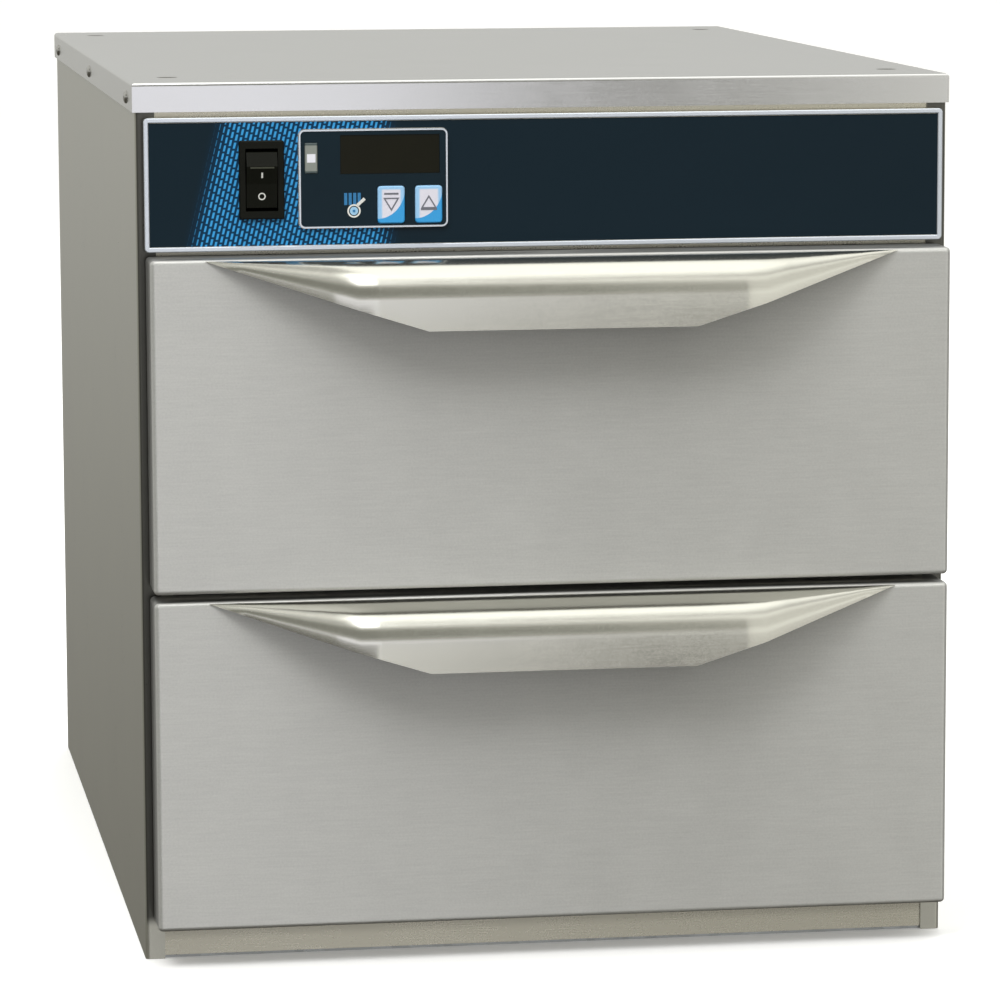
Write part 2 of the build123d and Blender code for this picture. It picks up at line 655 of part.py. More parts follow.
def hood_section(top, inset, drop, shoulder, steps):
    """Closed section of the hood, from the drawer face out over the shoulder to the lip."""
    bend = HANDLE_ROUND - inset
    crown = top - inset
    lip_y = Y_FACE - HANDLE_REACH + inset
    turns = [radians(90 * step / steps) for step in range(steps + 1)]
    curve = [(lip_y + bend * (1 - sin(t)), crown - bend * (1 - cos(t))) for t in turns]
    with BuildSketch(side_on(shoulder)) as section:
        with BuildLine():
            Polyline(
                (Y_FACE, top - drop), (Y_FACE, crown), *curve, (lip_y, top - drop), close=True
            )
        make_face()
    return section.sketch


def hood_form(top, inset, drop, tip):
    """Straight middle and two cone ends that run out to a point on the drawer's face."""
    end_drop = drop if inset else SLOPE_DROP
    with BuildPart() as form:
        section = hood_section(top, inset, drop, -HANDLE_SHOULDER, HOOD_STEPS)
        extrude(section, amount=2 * HANDLE_SHOULDER, dir=(1, 0, 0))
        for side in (-1, 1):
            end = hood_section(top, inset, end_drop, side * HANDLE_SHOULDER, HOOD_STEPS)
            loft([end, Vertex(side * tip, Y_FACE, top - inset)], ruled=True)
    return form.part


# The lower edge slopes up from just past the hem to the tip; this is its drop at the shoulder.
SLOPE_START = HEM_HALF + HEM_RUN
SLOPE_DROP = HANDLE_DROP * (HANDLE_TIP - HANDLE_SHOULDER) / (HANDLE_TIP - SLOPE_START)


def make_handle(drawer):
    """Pressed hood: rounded shoulder, upright lip with a hemmed edge, ends drawn back to the face."""
    top = DRAWER_LOW[drawer] + DRAWER_HEIGHT - HOOD_SET
    low = top - HANDLE_DROP
    tip_inside = HANDLE_TIP - SHEET * (HANDLE_TIP - HANDLE_SHOULDER) / HANDLE_REACH
    slope_z = top - SLOPE_DROP
    outer = hood_form(top, 0, HANDLE_DROP, HANDLE_TIP)
    hollow = hood_form(top, SHEET, HANDLE_DROP * 2, tip_inside)
    with BuildPart() as drawer_handle:
        add(outer)
        add(hollow, mode=Mode.SUBTRACT)
        with BuildSketch(facing(Y_FACE)):
            for side in (-1, 1):
                with BuildLine():
                    Polyline(
                        (side * SLOPE_START, low), (side * HANDLE_SHOULDER, slope_z),
                        (side * HANDLE_SHOULDER, low), close=True,
                    )
                make_face()
        extrude(amount=HANDLE_REACH + 1, mode=Mode.SUBTRACT)
        with BuildSketch(facing(Y_FACE)):
            with Locations((0, top - FLANGE_DROP / 2)):
                Rectangle(2 * HANDLE_SHOULDER, FLANGE_DROP)
        extrude(amount=SHEET)
        with BuildSketch(side_on(-HEM_HALF)):
            with Locations((Y_FACE - HANDLE_REACH + HEM_THICK / 2, low + HEM_HEIGHT / 2)):
                RectangleRounded(HEM_THICK, HEM_HEIGHT, HEM_ROUND)
        extrude(amount=2 * HEM_HALF)
    save(drawer_handle.part, f"{drawer}_drawer_handle")


def pan_outline(margin):
    """Points of the pan's body at its rim, grown by a margin."""
    return soft_corners(
        PAN_BODY_X + 2 * margin, PAN_BODY_Y + 2 * margin, PAN_CORNER + margin, CORNER_STEPS
    )


def pan_body(top, inset):
    """Drawn body of the pan, or with an inset the space inside it."""
    downward = Plane(origin=(0, PAN_Y, top), x_dir=(1, 0, 0), z_dir=(0, 0, -1))
    with BuildPart() as body:
        with BuildSketch(downward):
            Polygon(*pan_outline(-inset), align=None)
        extrude(amount=PAN_DEPTH - inset, taper=PAN_TAPER)
        chamfer(body.faces().sort_by(Axis.Z)[0].edges(), PAN_FOOT - inset)
    return body.part


def make_carrier(drawer):
    """Folded frame that hangs between the slides and carries the pan by its rim."""
    top = ledge_z(drawer)
    with BuildPart() as drawer_frame:
        with BuildSketch(level(top)):
            with Locations((0, PAN_Y)):
                Rectangle(CARRIER_WIDTH, CARRIER_DEPTH)
        extrude(amount=-CARRIER_SKIRT)
        offset(amount=-SHEET, openings=drawer_frame.faces().sort_by(Axis.Z)[0])
        with BuildSketch(level(top)):
            with Locations((0, PAN_Y)):
                Polygon(*pan_outline(PAN_CLEAR), align=None)
        extrude(amount=-SHEET, mode=Mode.SUBTRACT)
    save(drawer_frame.part, f"{drawer}_drawer_frame")

    with BuildPart() as food_pan:
        add(pan_body(top, 0))
        add(pan_body(top, PAN_SHEET), mode=Mode.SUBTRACT)
        with BuildSketch(level(top)):
            with Locations((0, PAN_Y)):
                RectangleRounded(PAN_WIDTH, PAN_LENGTH, RIM_ROUND)
                Polygon(*pan_outline(-PAN_SHEET), align=None, mode=Mode.SUBTRACT)
        extrude(amount=RIM_THICK)
    save(food_pan.part, f"{drawer}_food_pan")


# ---------------------------------------------------------------- control panel
def make_control_panel():
    with BuildPart() as control_panel:
        with BuildSketch(facing(Y_STILE)):
            with Locations((0, PANEL_MID)):
                Rectangle(PANEL_WIDTH, PANEL_HEIGHT)
        extrude(amount=CONTROL_PROUD)
        fillet(control_panel.edges().filter_by(Axis.Y), BEND)
        offset(amount=-SHEET, openings=control_panel.faces().sort_by(Axis.Y)[-1])
        with BuildSketch(facing(Y_STILE)):
            with Locations((CONTROL_X, CONTROL_Z)):
                Rectangle(
                    CONTROL_WIDTH - 2 * CONTROL_MARGIN, CONTROL_HEIGHT - 2 * CONTROL_MARGIN
                )
            with Locations((SWITCH_X, SWITCH_Z)):
                Rectangle(
                    SWITCH_BODY_WIDTH + 2 * SNAP_FIT, SWITCH_BODY_HEIGHT + 2 * SNAP_FIT
                )
        extrude(amount=CONTROL_PROUD, mode=Mode.SUBTRACT)
    save(control_panel.part, "control_panel")

    inner_w = PANEL_WIDTH - 2 * TRIM_WIDTH
    inner_h = PANEL_HEIGHT - 2 * TRIM_WIDTH
    with BuildPart() as panel_trim:
        with BuildSketch(facing(Y_PANEL)):
            with Locations((0, PANEL_MID)):
                RectangleRounded(PANEL_WIDTH, PANEL_HEIGHT, BEND)
                Rectangle(inner_w, inner_h, mode=Mode.SUBTRACT)
        extrude(amount=TRIM_THICK)
        chamfer(panel_trim.faces().sort_by(Axis.Y)[0].edges(), EDGE_BREAK)
    save(panel_trim.part, "panel_trim")

    with BuildPart() as panel_overlay:
        with BuildSketch(facing(Y_PANEL)):
            with Locations((0, PANEL_MID)):
                Rectangle(inner_w - 2 * OVERLAY_FIT, inner_h - 2 * OVERLAY_FIT)
            with Locations((CONTROL_X, CONTROL_Z)):
                RectangleRounded(
                    CONTROL_WIDTH + 2 * SNAP_FIT, CONTROL_HEIGHT + 2 * SNAP_FIT,
                    CONTROL_ROUND + SNAP_FIT, mode=Mode.SUBTRACT,
                )
            with Locations((SWITCH_X, SWITCH_Z)):
                Rectangle(
                    SWITCH_BODY_WIDTH + 2 * SNAP_FIT, SWITCH_BODY_HEIGHT + 2 * SNAP_FIT,
                    mode=Mode.SUBTRACT,
                )
        extrude(amount=OVERLAY_THICK)
    save(panel_overlay.part, "panel_overlay")


def controller_at(across, up):
    return Locations((CONTROL_X + across, CONTROL_Z + up))


def key_outline(margin):
    """Points of a key's cap, grown by a margin."""
    return soft_corners(
        KEY_WIDTH + 2 * margin, KEY_HEIGHT + 2 * margin, KEY_ROUND + margin, KEY_STEPS
    )


def make_controller():
    fascia_w = CONTROL_WIDTH - 2 * RING_WIDTH
    fascia_h = CONTROL_HEIGHT - 2 * RING_WIDTH
    with BuildPart() as controller_frame:
        with BuildSketch(facing(Y_PANEL)):
            with controller_at(0, 0):
                RectangleRounded(CONTROL_WIDTH, CONTROL_HEIGHT, CONTROL_ROUND)
                RectangleRounded(
                    fascia_w, fascia_h, CONTROL_ROUND - RING_WIDTH, mode=Mode.SUBTRACT
                )
        extrude(amount=RING_THICK)
    save(controller_frame.part, "controller_frame")

    with BuildPart() as controller_fascia:
        with BuildSketch(facing(Y_PANEL)):
            with controller_at(0, 0):
                RectangleRounded(
                    fascia_w - 2 * LENS_FIT, fascia_h - 2 * LENS_FIT, CONTROL_ROUND - RING_WIDTH
                )
            for across, up, width, height in (DISPLAY, LAMP):
                with controller_at(across, up):
                    Rectangle(width, height, mode=Mode.SUBTRACT)
            for across in KEY_ACROSS:
                with controller_at(across, KEY_UP):
                    Polygon(*key_outline(KEY_CLEAR), align=None, mode=Mode.SUBTRACT)
        extrude(amount=FASCIA_THICK)
    save(controller_fascia.part, "controller_fascia")

    with BuildPart() as display_window:
        with BuildSketch(facing(Y_PANEL)):
            with controller_at(DISPLAY[0], DISPLAY[1]):
                Rectangle(DISPLAY[2] - 2 * LENS_FIT, DISPLAY[3] - 2 * LENS_FIT)
        extrude(amount=FASCIA_THICK - EDGE_BREAK)
    save(display_window.part, "display_window")

    with BuildPart() as indicator_light:
        with BuildSketch(facing(Y_PANEL + LAMP_BACK)):
            with controller_at(LAMP[0], LAMP[1]):
                Rectangle(LAMP[2] - 2 * LENS_FIT, LAMP[3] - 2 * LENS_FIT)
        extrude(amount=LAMP_BACK + FASCIA_THICK + EDGE_BREAK)
        chamfer(indicator_light.faces().sort_by(Axis.Y)[0].edges(), EDGE_BREAK)
    save(indicator_light.part, "indicator_light")

    # The case hangs on the back of the panel by a stepped flange that clears the keys.
    open_w = CONTROL_WIDTH - 2 * CONTROL_MARGIN
    open_h = CONTROL_HEIGHT - 2 * CONTROL_MARGIN
    case_w = open_w - 2 * OVERLAY_FIT
    case_h = open_h - 2 * OVERLAY_FIT
    y_step = Y_PANEL + SHEET + CASE_LIP
    y_case = y_step + CASE_LIP
    with BuildPart() as controller_case:
        with BuildSketch(facing(y_case + CASE_DEPTH)):
            with controller_at(0, 0):
                Rectangle(case_w, case_h)
        extrude(amount=CASE_DEPTH)
        offset(amount=-CASE_WALL, openings=controller_case.faces().sort_by(Axis.Y)[0])
        with BuildSketch(facing(y_case)):
            with controller_at(0, 0):
                Rectangle(open_w + 2 * CASE_EAR, open_h + 2 * CASE_BROW)
                Rectangle(case_w - 2 * CASE_WALL, case_h - 2 * CASE_WALL, mode=Mode.SUBTRACT)
        extrude(amount=CASE_LIP)
        with BuildSketch(facing(y_step)):
            with controller_at(0, 0):
                Rectangle(open_w + 2 * CASE_EAR, open_h + 2 * CASE_BROW)
                Rectangle(open_w, open_h, mode=Mode.SUBTRACT)
        extrude(amount=CASE_LIP)
    save(controller_case.part, "controller_case")

    y_board = y_case + BOARD_BACK
    board_fit = 2 * (CASE_WALL + BOARD_MARGIN)
    with BuildPart() as control_board:
        with BuildSketch(facing(y_board + BOARD_THICK)):
            with controller_at(0, 0):
                Rectangle(case_w - board_fit, case_h - board_fit)
        extrude(amount=BOARD_THICK)
        with BuildSketch(facing(y_board)):
            for across in KEY_ACROSS:
                with controller_at(across, KEY_UP):
                    Rectangle(KEY_SWITCH, KEY_SWITCH)
        extrude(amount=KEY_SWITCH_RISE)
        with BuildSketch(facing(y_board)):
            with controller_at(DISPLAY[0], DISPLAY[1]):
                Rectangle(DISPLAY[2] - 2 * CASE_WALL, DISPLAY[3] - 2 * CASE_WALL)
        extrude(amount=DISPLAY_RISE)
        with BuildSketch(facing(y_board + BOARD_THICK)):
            for across in CHIP_ACROSS:
                with controller_at(across, 0):
                    Rectangle(2 * KEY_SWITCH, 2 * KEY_SWITCH)
        extrude(amount=-CHIP_RISE)
    save(control_board.part, "control_board")
    return y_board


def make_keys(y_board):
    """Push keys: a low bevelled cap, a retaining flange behind the fascia and a stem."""
    y_cap = Y_PANEL - FASCIA_THICK - KEY_PROUD
    y_flange = Y_PANEL + KEY_CLEAR
    y_stem_end = y_board - KEY_SWITCH_RISE - KEY_TRAVEL - KEY_REST
    for name, across in zip(("key_down", "key_up"), KEY_ACROSS):
        with BuildPart() as key:
            with BuildSketch(facing(y_flange)):
                with controller_at(across, KEY_UP):
                    Polygon(*key_outline(0), align=None)
            extrude(amount=y_flange - y_cap)
            chamfer(key.faces().sort_by(Axis.Y)[0].edges(), KEY_SOFT)
            with BuildSketch(facing(y_flange + KEY_FLANGE)):
                with controller_at(across, KEY_UP):
                    Rectangle(KEY_WIDTH + 2 * KEY_LIP, KEY_HEIGHT + 2 * KEY_LIP)
            extrude(amount=KEY_FLANGE)
            with BuildSketch(facing(y_flange + KEY_FLANGE)):
                with controller_at(across, KEY_UP):
                    Rectangle(KEY_STEM, KEY_STEM)
            extrude(amount=-(y_stem_end - y_flange - KEY_FLANGE))
        save(key.part, name)


def make_switch():
    y_bezel = Y_OVERLAY - BEZEL_THICK
    y_pivot = y_bezel + ROCKER_PIVOT
    window = ROCKER_END + ROCKER_CLEAR
    with BuildPart() as switch_housing:
        with BuildSketch(facing(Y_OVERLAY)):
            with Locations((SWITCH_X, SWITCH_Z)):
                RectangleRounded(BEZEL_WIDTH, BEZEL_HEIGHT, BEZEL_ROUND)
        extrude(amount=BEZEL_THICK)
        chamfer(switch_housing.faces().sort_by(Axis.Y)[0].edges(), BEZEL_EDGE)
        with BuildSketch(facing(Y_OVERLAY)):
            with Locations((SWITCH_X, SWITCH_Z)):
                Rectangle(SWITCH_BODY_WIDTH, SWITCH_BODY_HEIGHT)
        extrude(amount=-SWITCH_DEPTH)
        with BuildSketch(facing(y_bezel)):
            with Locations((SWITCH_X, SWITCH_Z)):
                Rectangle(ROCKER_WIDTH + 2 * ROCKER_CLEAR, 2 * window)
        extrude(amount=-(ROCKER_PIVOT + ROCKER_WELL), mode=Mode.SUBTRACT)
        with BuildSketch(side_on(SWITCH_X)):
            with Locations((y_pivot, SWITCH_Z)):
                Circle(PIVOT_RADIUS + PIVOT_FIT)
        extrude(amount=ROCKER_WIDTH / 2 + ROCKER_CLEAR + PIVOT_IN, both=True, mode=Mode.SUBTRACT)
    save(switch_housing.part, "switch_housing")

    with BuildPart() as switch_terminals:
        with BuildSketch(facing(Y_OVERLAY + SWITCH_DEPTH)):
            with Locations((SWITCH_X, SWITCH_Z)):
                with GridLocations(SWITCH_BODY_WIDTH / 2, SWITCH_BODY_HEIGHT / 3, 2, 2):
                    Rectangle(*BLADE)
        extrude(amount=-BLADE_LENGTH)
    save(switch_terminals.part, "switch_terminals")

    # Section of the rocker at rest, (behind the bezel's face, up): the lower half is pressed in.
    crest = (-3.0, 7.0)
    valley = (-0.8, -2.0)
    outline = [
        (0.0, ROCKER_END - 1.5), crest, valley, (1.0, 1.3 - ROCKER_END),
        (ROCKER_PIVOT, 0.1 - ROCKER_END), (ROCKER_PIVOT + 3, -5), (ROCKER_PIVOT + 6.5, 0),
        (ROCKER_PIVOT + 3, 5), (ROCKER_PIVOT, ROCKER_END - 0.4),
    ]
    with BuildPart() as rocker:
        with BuildSketch(side_on(SWITCH_X - ROCKER_WIDTH / 2)):
            with BuildLine():
                Polyline(*[(y_bezel + back, SWITCH_Z + up) for back, up in outline], close=True)
            make_face()
        extrude(amount=ROCKER_WIDTH)
        with BuildSketch(side_on(SWITCH_X)):
            with Locations((y_pivot, SWITCH_Z)):
                Circle(ROCKER_END)
        extrude(amount=ROCKER_WIDTH, both=True, mode=Mode.INTERSECT)
        with BuildSketch(side_on(SWITCH_X)):
            with Locations((y_pivot, SWITCH_Z)):
                Circle(PIVOT_RADIUS)
        extrude(amount=ROCKER_WIDTH / 2 + ROCKER_CLEAR + PIVOT_IN - PIVOT_END, both=True)
    save(rocker.part, "rocker")


# ---------------------------------------------------------------- control bay
def make_control_bay():
    y_low = Y_FRAME + SHEET
    y_high = Y_REAR - 2 * SHEET
    depth = y_high - y_low
    with BuildPart() as control_shelf:
        with BuildSketch(level(SHELF_Z)):
            with Locations((0, (y_low + y_high) / 2)):
                Rectangle(CASE_INSIDE, depth)
        extrude(amount=SHEET)
    save(control_shelf.part, "control_shelf")

    floor = SHELF_Z + SHEET
    with BuildPart() as transformer:
        with BuildSketch(level(floor)):
            with Locations((CORE_AT[0], y_low + CORE_AT[1])):
                Rectangle(*CORE_FOOT[:2])
        extrude(amount=CORE_FOOT[2])
        with BuildSketch(level(floor)):
            with Locations((CORE_AT[0], y_low + CORE_AT[1])):
                Rectangle(*CORE_SIZE[:2])
        extrude(amount=CORE_SIZE[2])
        with BuildSketch(level(floor + COIL_UP)):
            with Locations((CORE_AT[0], y_low + CORE_AT[1])):
                Polygon(*soft_corners(*COIL_SIZE[:2], COIL_ROUND, KEY_STEPS), align=None)
        extrude(amount=COIL_SIZE[2])
    save(transformer.part, "transformer")

    with BuildPart() as power_relay:
        with BuildSketch(level(floor)):
            with Locations((RELAY_AT[0], y_low + RELAY_AT[1])):
                Rectangle(*RELAY_SIZE[:2])
        extrude(amount=RELAY_SIZE[2])
        with BuildSketch(level(floor + RELAY_SIZE[2])):
            with Locations((RELAY_AT[0], y_low + RELAY_AT[1])):
                with GridLocations(*RELAY_PINS, 4, 2):
                    Rectangle(*BLADE)
        extrude(amount=BLADE_LENGTH)
    save(power_relay.part, "power_relay")

    with BuildPart() as terminal_block:
        with BuildSketch(level(floor)):
            with Locations((GLAND_X, y_high - TERMINAL_BACK)):
                Rectangle(*TERMINAL_SIZE[:2])
        extrude(amount=TERMINAL_SIZE[2])
        with BuildSketch(level(floor + TERMINAL_SIZE[2])):
            with Locations((GLAND_X, y_high - TERMINAL_BACK)):
                with GridLocations(TERMINAL_PITCH, 1, 4, 1):
                    Rectangle(TERMINAL_WELL[0], TERMINAL_SIZE[1])
        extrude(amount=-TERMINAL_WELL[1], mode=Mode.SUBTRACT)
    save(terminal_block.part, "terminal_block")

    with BuildPart() as limit_thermostat:
        with BuildSketch(level(floor)):
            with Locations((CUTOUT_AT[0], y_low + CUTOUT_AT[1])):
                Circle(CUTOUT_RADIUS)
        extrude(amount=CUTOUT_HEIGHT)
        with BuildSketch(level(floor)):
            with Locations((CUTOUT_AT[0], y_low + CUTOUT_AT[1])):
                Rectangle(*CUTOUT_FLANGE[:2])
        extrude(amount=CUTOUT_FLANGE[2])
    save(limit_thermostat.part, "limit_thermostat")

    # The sensor is fixed to the rear wall of the upper cavity and reaches into its air.
    with BuildPart() as temperature_sensor:
        z = liner_low("upper") + LINER_HEIGHT - SENSOR_DROP
        with BuildSketch(facing(Y_LINER_END - LINER_SHEET)):
            with Locations((SENSOR_X, z)):
                Circle(SENSOR_RADIUS)
        extrude(amount=SENSOR_REACH)
        with BuildSketch(facing(Y_LINER_END - LINER_SHEET)):
            with Locations((SENSOR_X, z)):
                Rectangle(*SENSOR_FLANGE[:2])
        extrude(amount=SENSOR_FLANGE[2])
    save(temperature_sensor.part, "temperature_sensor")


make_top_cover()
make_screws()
make_hole_plugs()
make_side_panel("left_side_panel", -1)
make_side_panel("right_side_panel", 1)
make_base_pan()
make_front_frame()
make_rear_panel()
make_insulation()
for drawer_name in DRAWER_LOW:
    make_liner(drawer_name)
    make_heating_cable(drawer_name)
    make_slides(drawer_name)
    make_drawer_front(drawer_name)
    make_handle(drawer_name)
    make_carrier(drawer_name)
make_control_panel()
make_keys(make_controller())
make_switch()
make_control_bay()
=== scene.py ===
# %% [markdown]
# # A countertop warming drawer, dressed in Blender
# The solid parts of this food warmer come from a CAD model that is already at its real size.
# This lesson gives each part the finish of the real thing: brushed stainless sheet, a printed
# control strip, black switch plastic, a drawn food pan. We load the solids first, because every
# later step reads its places from them.

import bpy
import math
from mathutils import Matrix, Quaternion, Vector


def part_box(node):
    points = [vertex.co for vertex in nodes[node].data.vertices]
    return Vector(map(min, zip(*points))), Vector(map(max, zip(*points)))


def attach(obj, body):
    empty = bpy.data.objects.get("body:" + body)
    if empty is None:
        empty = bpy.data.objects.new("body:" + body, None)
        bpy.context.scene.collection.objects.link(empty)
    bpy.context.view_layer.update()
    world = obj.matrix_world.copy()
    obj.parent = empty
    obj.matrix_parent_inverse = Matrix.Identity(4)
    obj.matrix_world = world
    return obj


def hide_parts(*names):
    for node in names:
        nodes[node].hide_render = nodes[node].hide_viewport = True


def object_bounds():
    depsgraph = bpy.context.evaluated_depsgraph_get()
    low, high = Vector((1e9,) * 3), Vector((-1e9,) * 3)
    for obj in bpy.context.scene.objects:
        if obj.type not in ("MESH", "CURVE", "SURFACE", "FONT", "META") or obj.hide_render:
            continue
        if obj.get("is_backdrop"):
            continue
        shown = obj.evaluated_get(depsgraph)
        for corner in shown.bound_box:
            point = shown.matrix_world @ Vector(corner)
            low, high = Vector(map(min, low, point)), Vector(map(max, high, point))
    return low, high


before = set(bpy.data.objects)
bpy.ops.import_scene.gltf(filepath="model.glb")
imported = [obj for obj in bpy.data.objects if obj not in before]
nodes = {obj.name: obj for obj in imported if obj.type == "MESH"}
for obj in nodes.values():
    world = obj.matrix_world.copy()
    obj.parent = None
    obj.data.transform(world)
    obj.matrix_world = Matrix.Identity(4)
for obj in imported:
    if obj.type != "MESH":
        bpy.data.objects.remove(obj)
cad_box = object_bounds()

# %% [markdown]
# ## Shader maths that reads like maths
# A finish is a recipe of nodes. Wiring each Math node by hand hides the idea behind it, so a
# socket is wrapped in a small class whose operators add the nodes: `1 - mask` is then one
# Subtract node, and `x % pitch` folds a strip into one cell. Every other node comes from a single
# method, which takes its type, its settings and what goes into its sockets.


# %% The two helper classes
class Signal:
    """A socket that can be used in arithmetic: its operators add Math nodes."""

    def __init__(self, recipe, socket):
        self.recipe, self.socket = recipe, socket

    def __add__(self, other):
        return self.recipe.math("ADD", self, other)

    def __sub__(self, other):
        return self.recipe.math("SUBTRACT", self, other)

    def __rsub__(self, other):
        return self.recipe.math("SUBTRACT", other, self)

    def __mul__(self, other):
        return self.recipe.math("MULTIPLY", self, other)

    def __truediv__(self, other):
        return self.recipe.math("DIVIDE", self, other)

    def __floordiv__(self, other):
        return self.recipe.math("FLOOR", self / other)

    def __mod__(self, other):
        return self.recipe.math("FLOORED_MODULO", self, other)

    def __abs__(self):
        return self.recipe.math("ABSOLUTE", self)

    __radd__ = __add__
    __rmul__ = __mul__


class Recipe:
    """The node tree of one finish."""

    def __init__(self, owner):
        owner.use_nodes = True
        self.tree = owner.node_tree
        self.tree.nodes.clear()

    def node(self, kind, settings=(), sockets=(), output=0):
        made = self.tree.nodes.new(kind)
        for name, value in dict(settings).items():
            setattr(made, name, value)
        for name, value in dict(sockets).items():
            if isinstance(value, Signal):
                self.tree.links.new(value.socket, made.inputs[name])
            else:
                made.inputs[name].default_value = value
        return Signal(self, made.outputs[output]) if made.outputs else None

    def math(self, operation, *values):
        return self.node("ShaderNodeMath", {"operation": operation}, dict(enumerate(values)))

    def ramp(self, value, low, high):
        """0 below low, 1 above high, smooth in between."""
        return self.node(
            "ShaderNodeMapRange", {"interpolation_type": "SMOOTHSTEP"},
            {"Value": value, "From Min": low, "From Max": high}, "Result",
        )

    def band(self, value, low, high, soft):
        """1 between low and high, 0 outside, with soft edges."""
        risen = self.ramp(value, low - soft, low + soft)
        return risen * (1 - self.ramp(value, high - soft, high + soft))

    def blend(self, share, first, second):
        """Colour that goes from the first to the second as the share goes from 0 to 1."""
        return self.node("ShaderNodeMix", {"data_type": "RGBA", "clamp_factor": True},
                         {"Factor": share, "A": first, "B": second}, "Result")

    def axes(self, vector):
        """The three parts of a vector."""
        split = self.node("ShaderNodeSeparateXYZ", {}, {"Vector": vector})
        return [Signal(self, output) for output in split.socket.node.outputs]

    def noise(self, vector, scale, detail=2.0, roughness=0.5):
        return self.node("ShaderNodeTexNoise", {}, {
            "Vector": vector, "Scale": scale, "Detail": detail, "Roughness": roughness}, "Fac")

    def surface(self, **sockets):
        """The Principled shader and the output; underscores in names stand for blanks."""
        named = {name.replace("_", " "): value for name, value in sockets.items()}
        shade = self.node("ShaderNodeBsdfPrincipled", {}, named)
        self.node("ShaderNodeOutputMaterial", {}, {"Surface": shade})


def new_finish(name):
    """A new material and its empty recipe."""
    material = bpy.data.materials.new(name)
    return material, Recipe(material)


# %% [markdown]
# ## Colours as the eye names them
# Colours are easiest to note the way a picture shows them, from 0 to 255. Shaders work on
# linear light, so one function turns the first into the second. Finishes are then handed to
# the solid parts by name, which fills every material slot that a part has.


# %% Colour from eye values, and finishes for parts
def eye(red, green, blue):
    """Linear colour from screen values of 0 to 255."""
    def linear(value):
        share = value / 255
        return share / 12.92 if share <= 0.04045 else ((share + 0.055) / 1.055) ** 2.4
    return (linear(red), linear(green), linear(blue), 1.0)


def shaded(colour, factor):
    """The same colour, darker or lighter."""
    return [min(1.0, part * factor) for part in colour[:3]] + [1.0]


DRAWERS = ("lower", "upper")


def finish_parts(material, *names):
    """Puts the material into every slot of the named parts."""
    for name in names:
        slots = nodes[name].data.materials
        for index in range(len(slots)):
            slots[index] = material


def both(part):
    """A part's name in the lower and in the upper drawer."""
    return [f"{drawer}_{part}" for drawer in DRAWERS]


print("mid grey in linear light:", round(eye(128, 128, 128)[0], 3))

# %% [markdown]
# ## The camera
# The object is seen a little from above and from its left, by a long lens from far away, which
# keeps its upright edges nearly parallel. The lens length follows from the focal length in
# pixels, because the sensor is as wide as the picture. Yaw, pitch and roll turn the camera.

# %% Place the camera
PICTURE_SIDE = 1000.0
SENSOR_SIDE = 36.0
FOCAL_PIXELS = 4875.6
EYE_POINT = Vector((-0.4077, -2.7287, 0.5816))
YAW, PITCH, ROLL = math.radians(8.874), math.radians(-7.949), math.radians(-0.202)

bpy.ops.object.camera_add(location=EYE_POINT)
camera = bpy.context.object
camera.name = "picture_camera"
camera.data.sensor_width = SENSOR_SIDE
camera.data.lens = FOCAL_PIXELS * SENSOR_SIDE / PICTURE_SIDE
ahead = Vector((math.sin(YAW) * math.cos(PITCH), math.cos(YAW) * math.cos(PITCH), math.sin(PITCH)))
camera.rotation_mode = "QUATERNION"
camera.rotation_quaternion = ahead.to_track_quat("-Z", "Y") @ Quaternion((0, 0, 1), ROLL)
bpy.context.scene.camera = camera
bpy.context.scene.view_settings.view_transform = "Standard"
print("lens", round(camera.data.lens, 1), "mm")

# %% [markdown]
# ## A pale floor
# A plain floor carries the cabinet. It is large enough to fill the picture behind it. Metal
# would mirror it, so the floor is kept out of reflections and sends no light back up: the
# studio's own light, made next, is all that the steel shows.

# %% Lay the floor
FLOOR_SIDE = 60.0
FLOOR_DROP = 0.0002
FLOOR_GLOW = 0.22  # keeps it pale where the lamps no longer reach

bpy.ops.object.select_all(action="DESELECT")
bpy.ops.mesh.primitive_plane_add(size=FLOOR_SIDE, location=(0, 0, cad_box[0].z - FLOOR_DROP))
floor = bpy.context.object
floor.name = "pale_floor"
floor.visible_glossy = False
floor.visible_diffuse = False
floor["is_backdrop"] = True
pale, recipe = new_finish("pale_floor")
place = recipe.node("ShaderNodeTexCoord", {}, {}, "Object")
recipe.surface(
    Base_Color=eye(250, 250, 249), Roughness=0.9 + recipe.noise(place, 0.6) * 0.08,
    Emission_Color=eye(255, 255, 252), Emission_Strength=FLOOR_GLOW,
)
floor.data.materials.append(pale)
print("floor laid at", round(cad_box[0].z, 4))

# %% [markdown]
# ## Soft studio light
# Steel has no colour of its own: it shows the room. A studio for steel is a set of large pale
# cards. Here the room is the world's own shader: a sky that is darker below the horizon, and
# soft-edged cards placed by compass angle and height, so that each can be moved like a real
# one. The compass is 0 degrees towards the viewer and grows to the right. A card of negative
# strength is a black one, which takes light away. Two broad lamps add the soft shadows; they
# stay out of reflections, which are left to the cards.

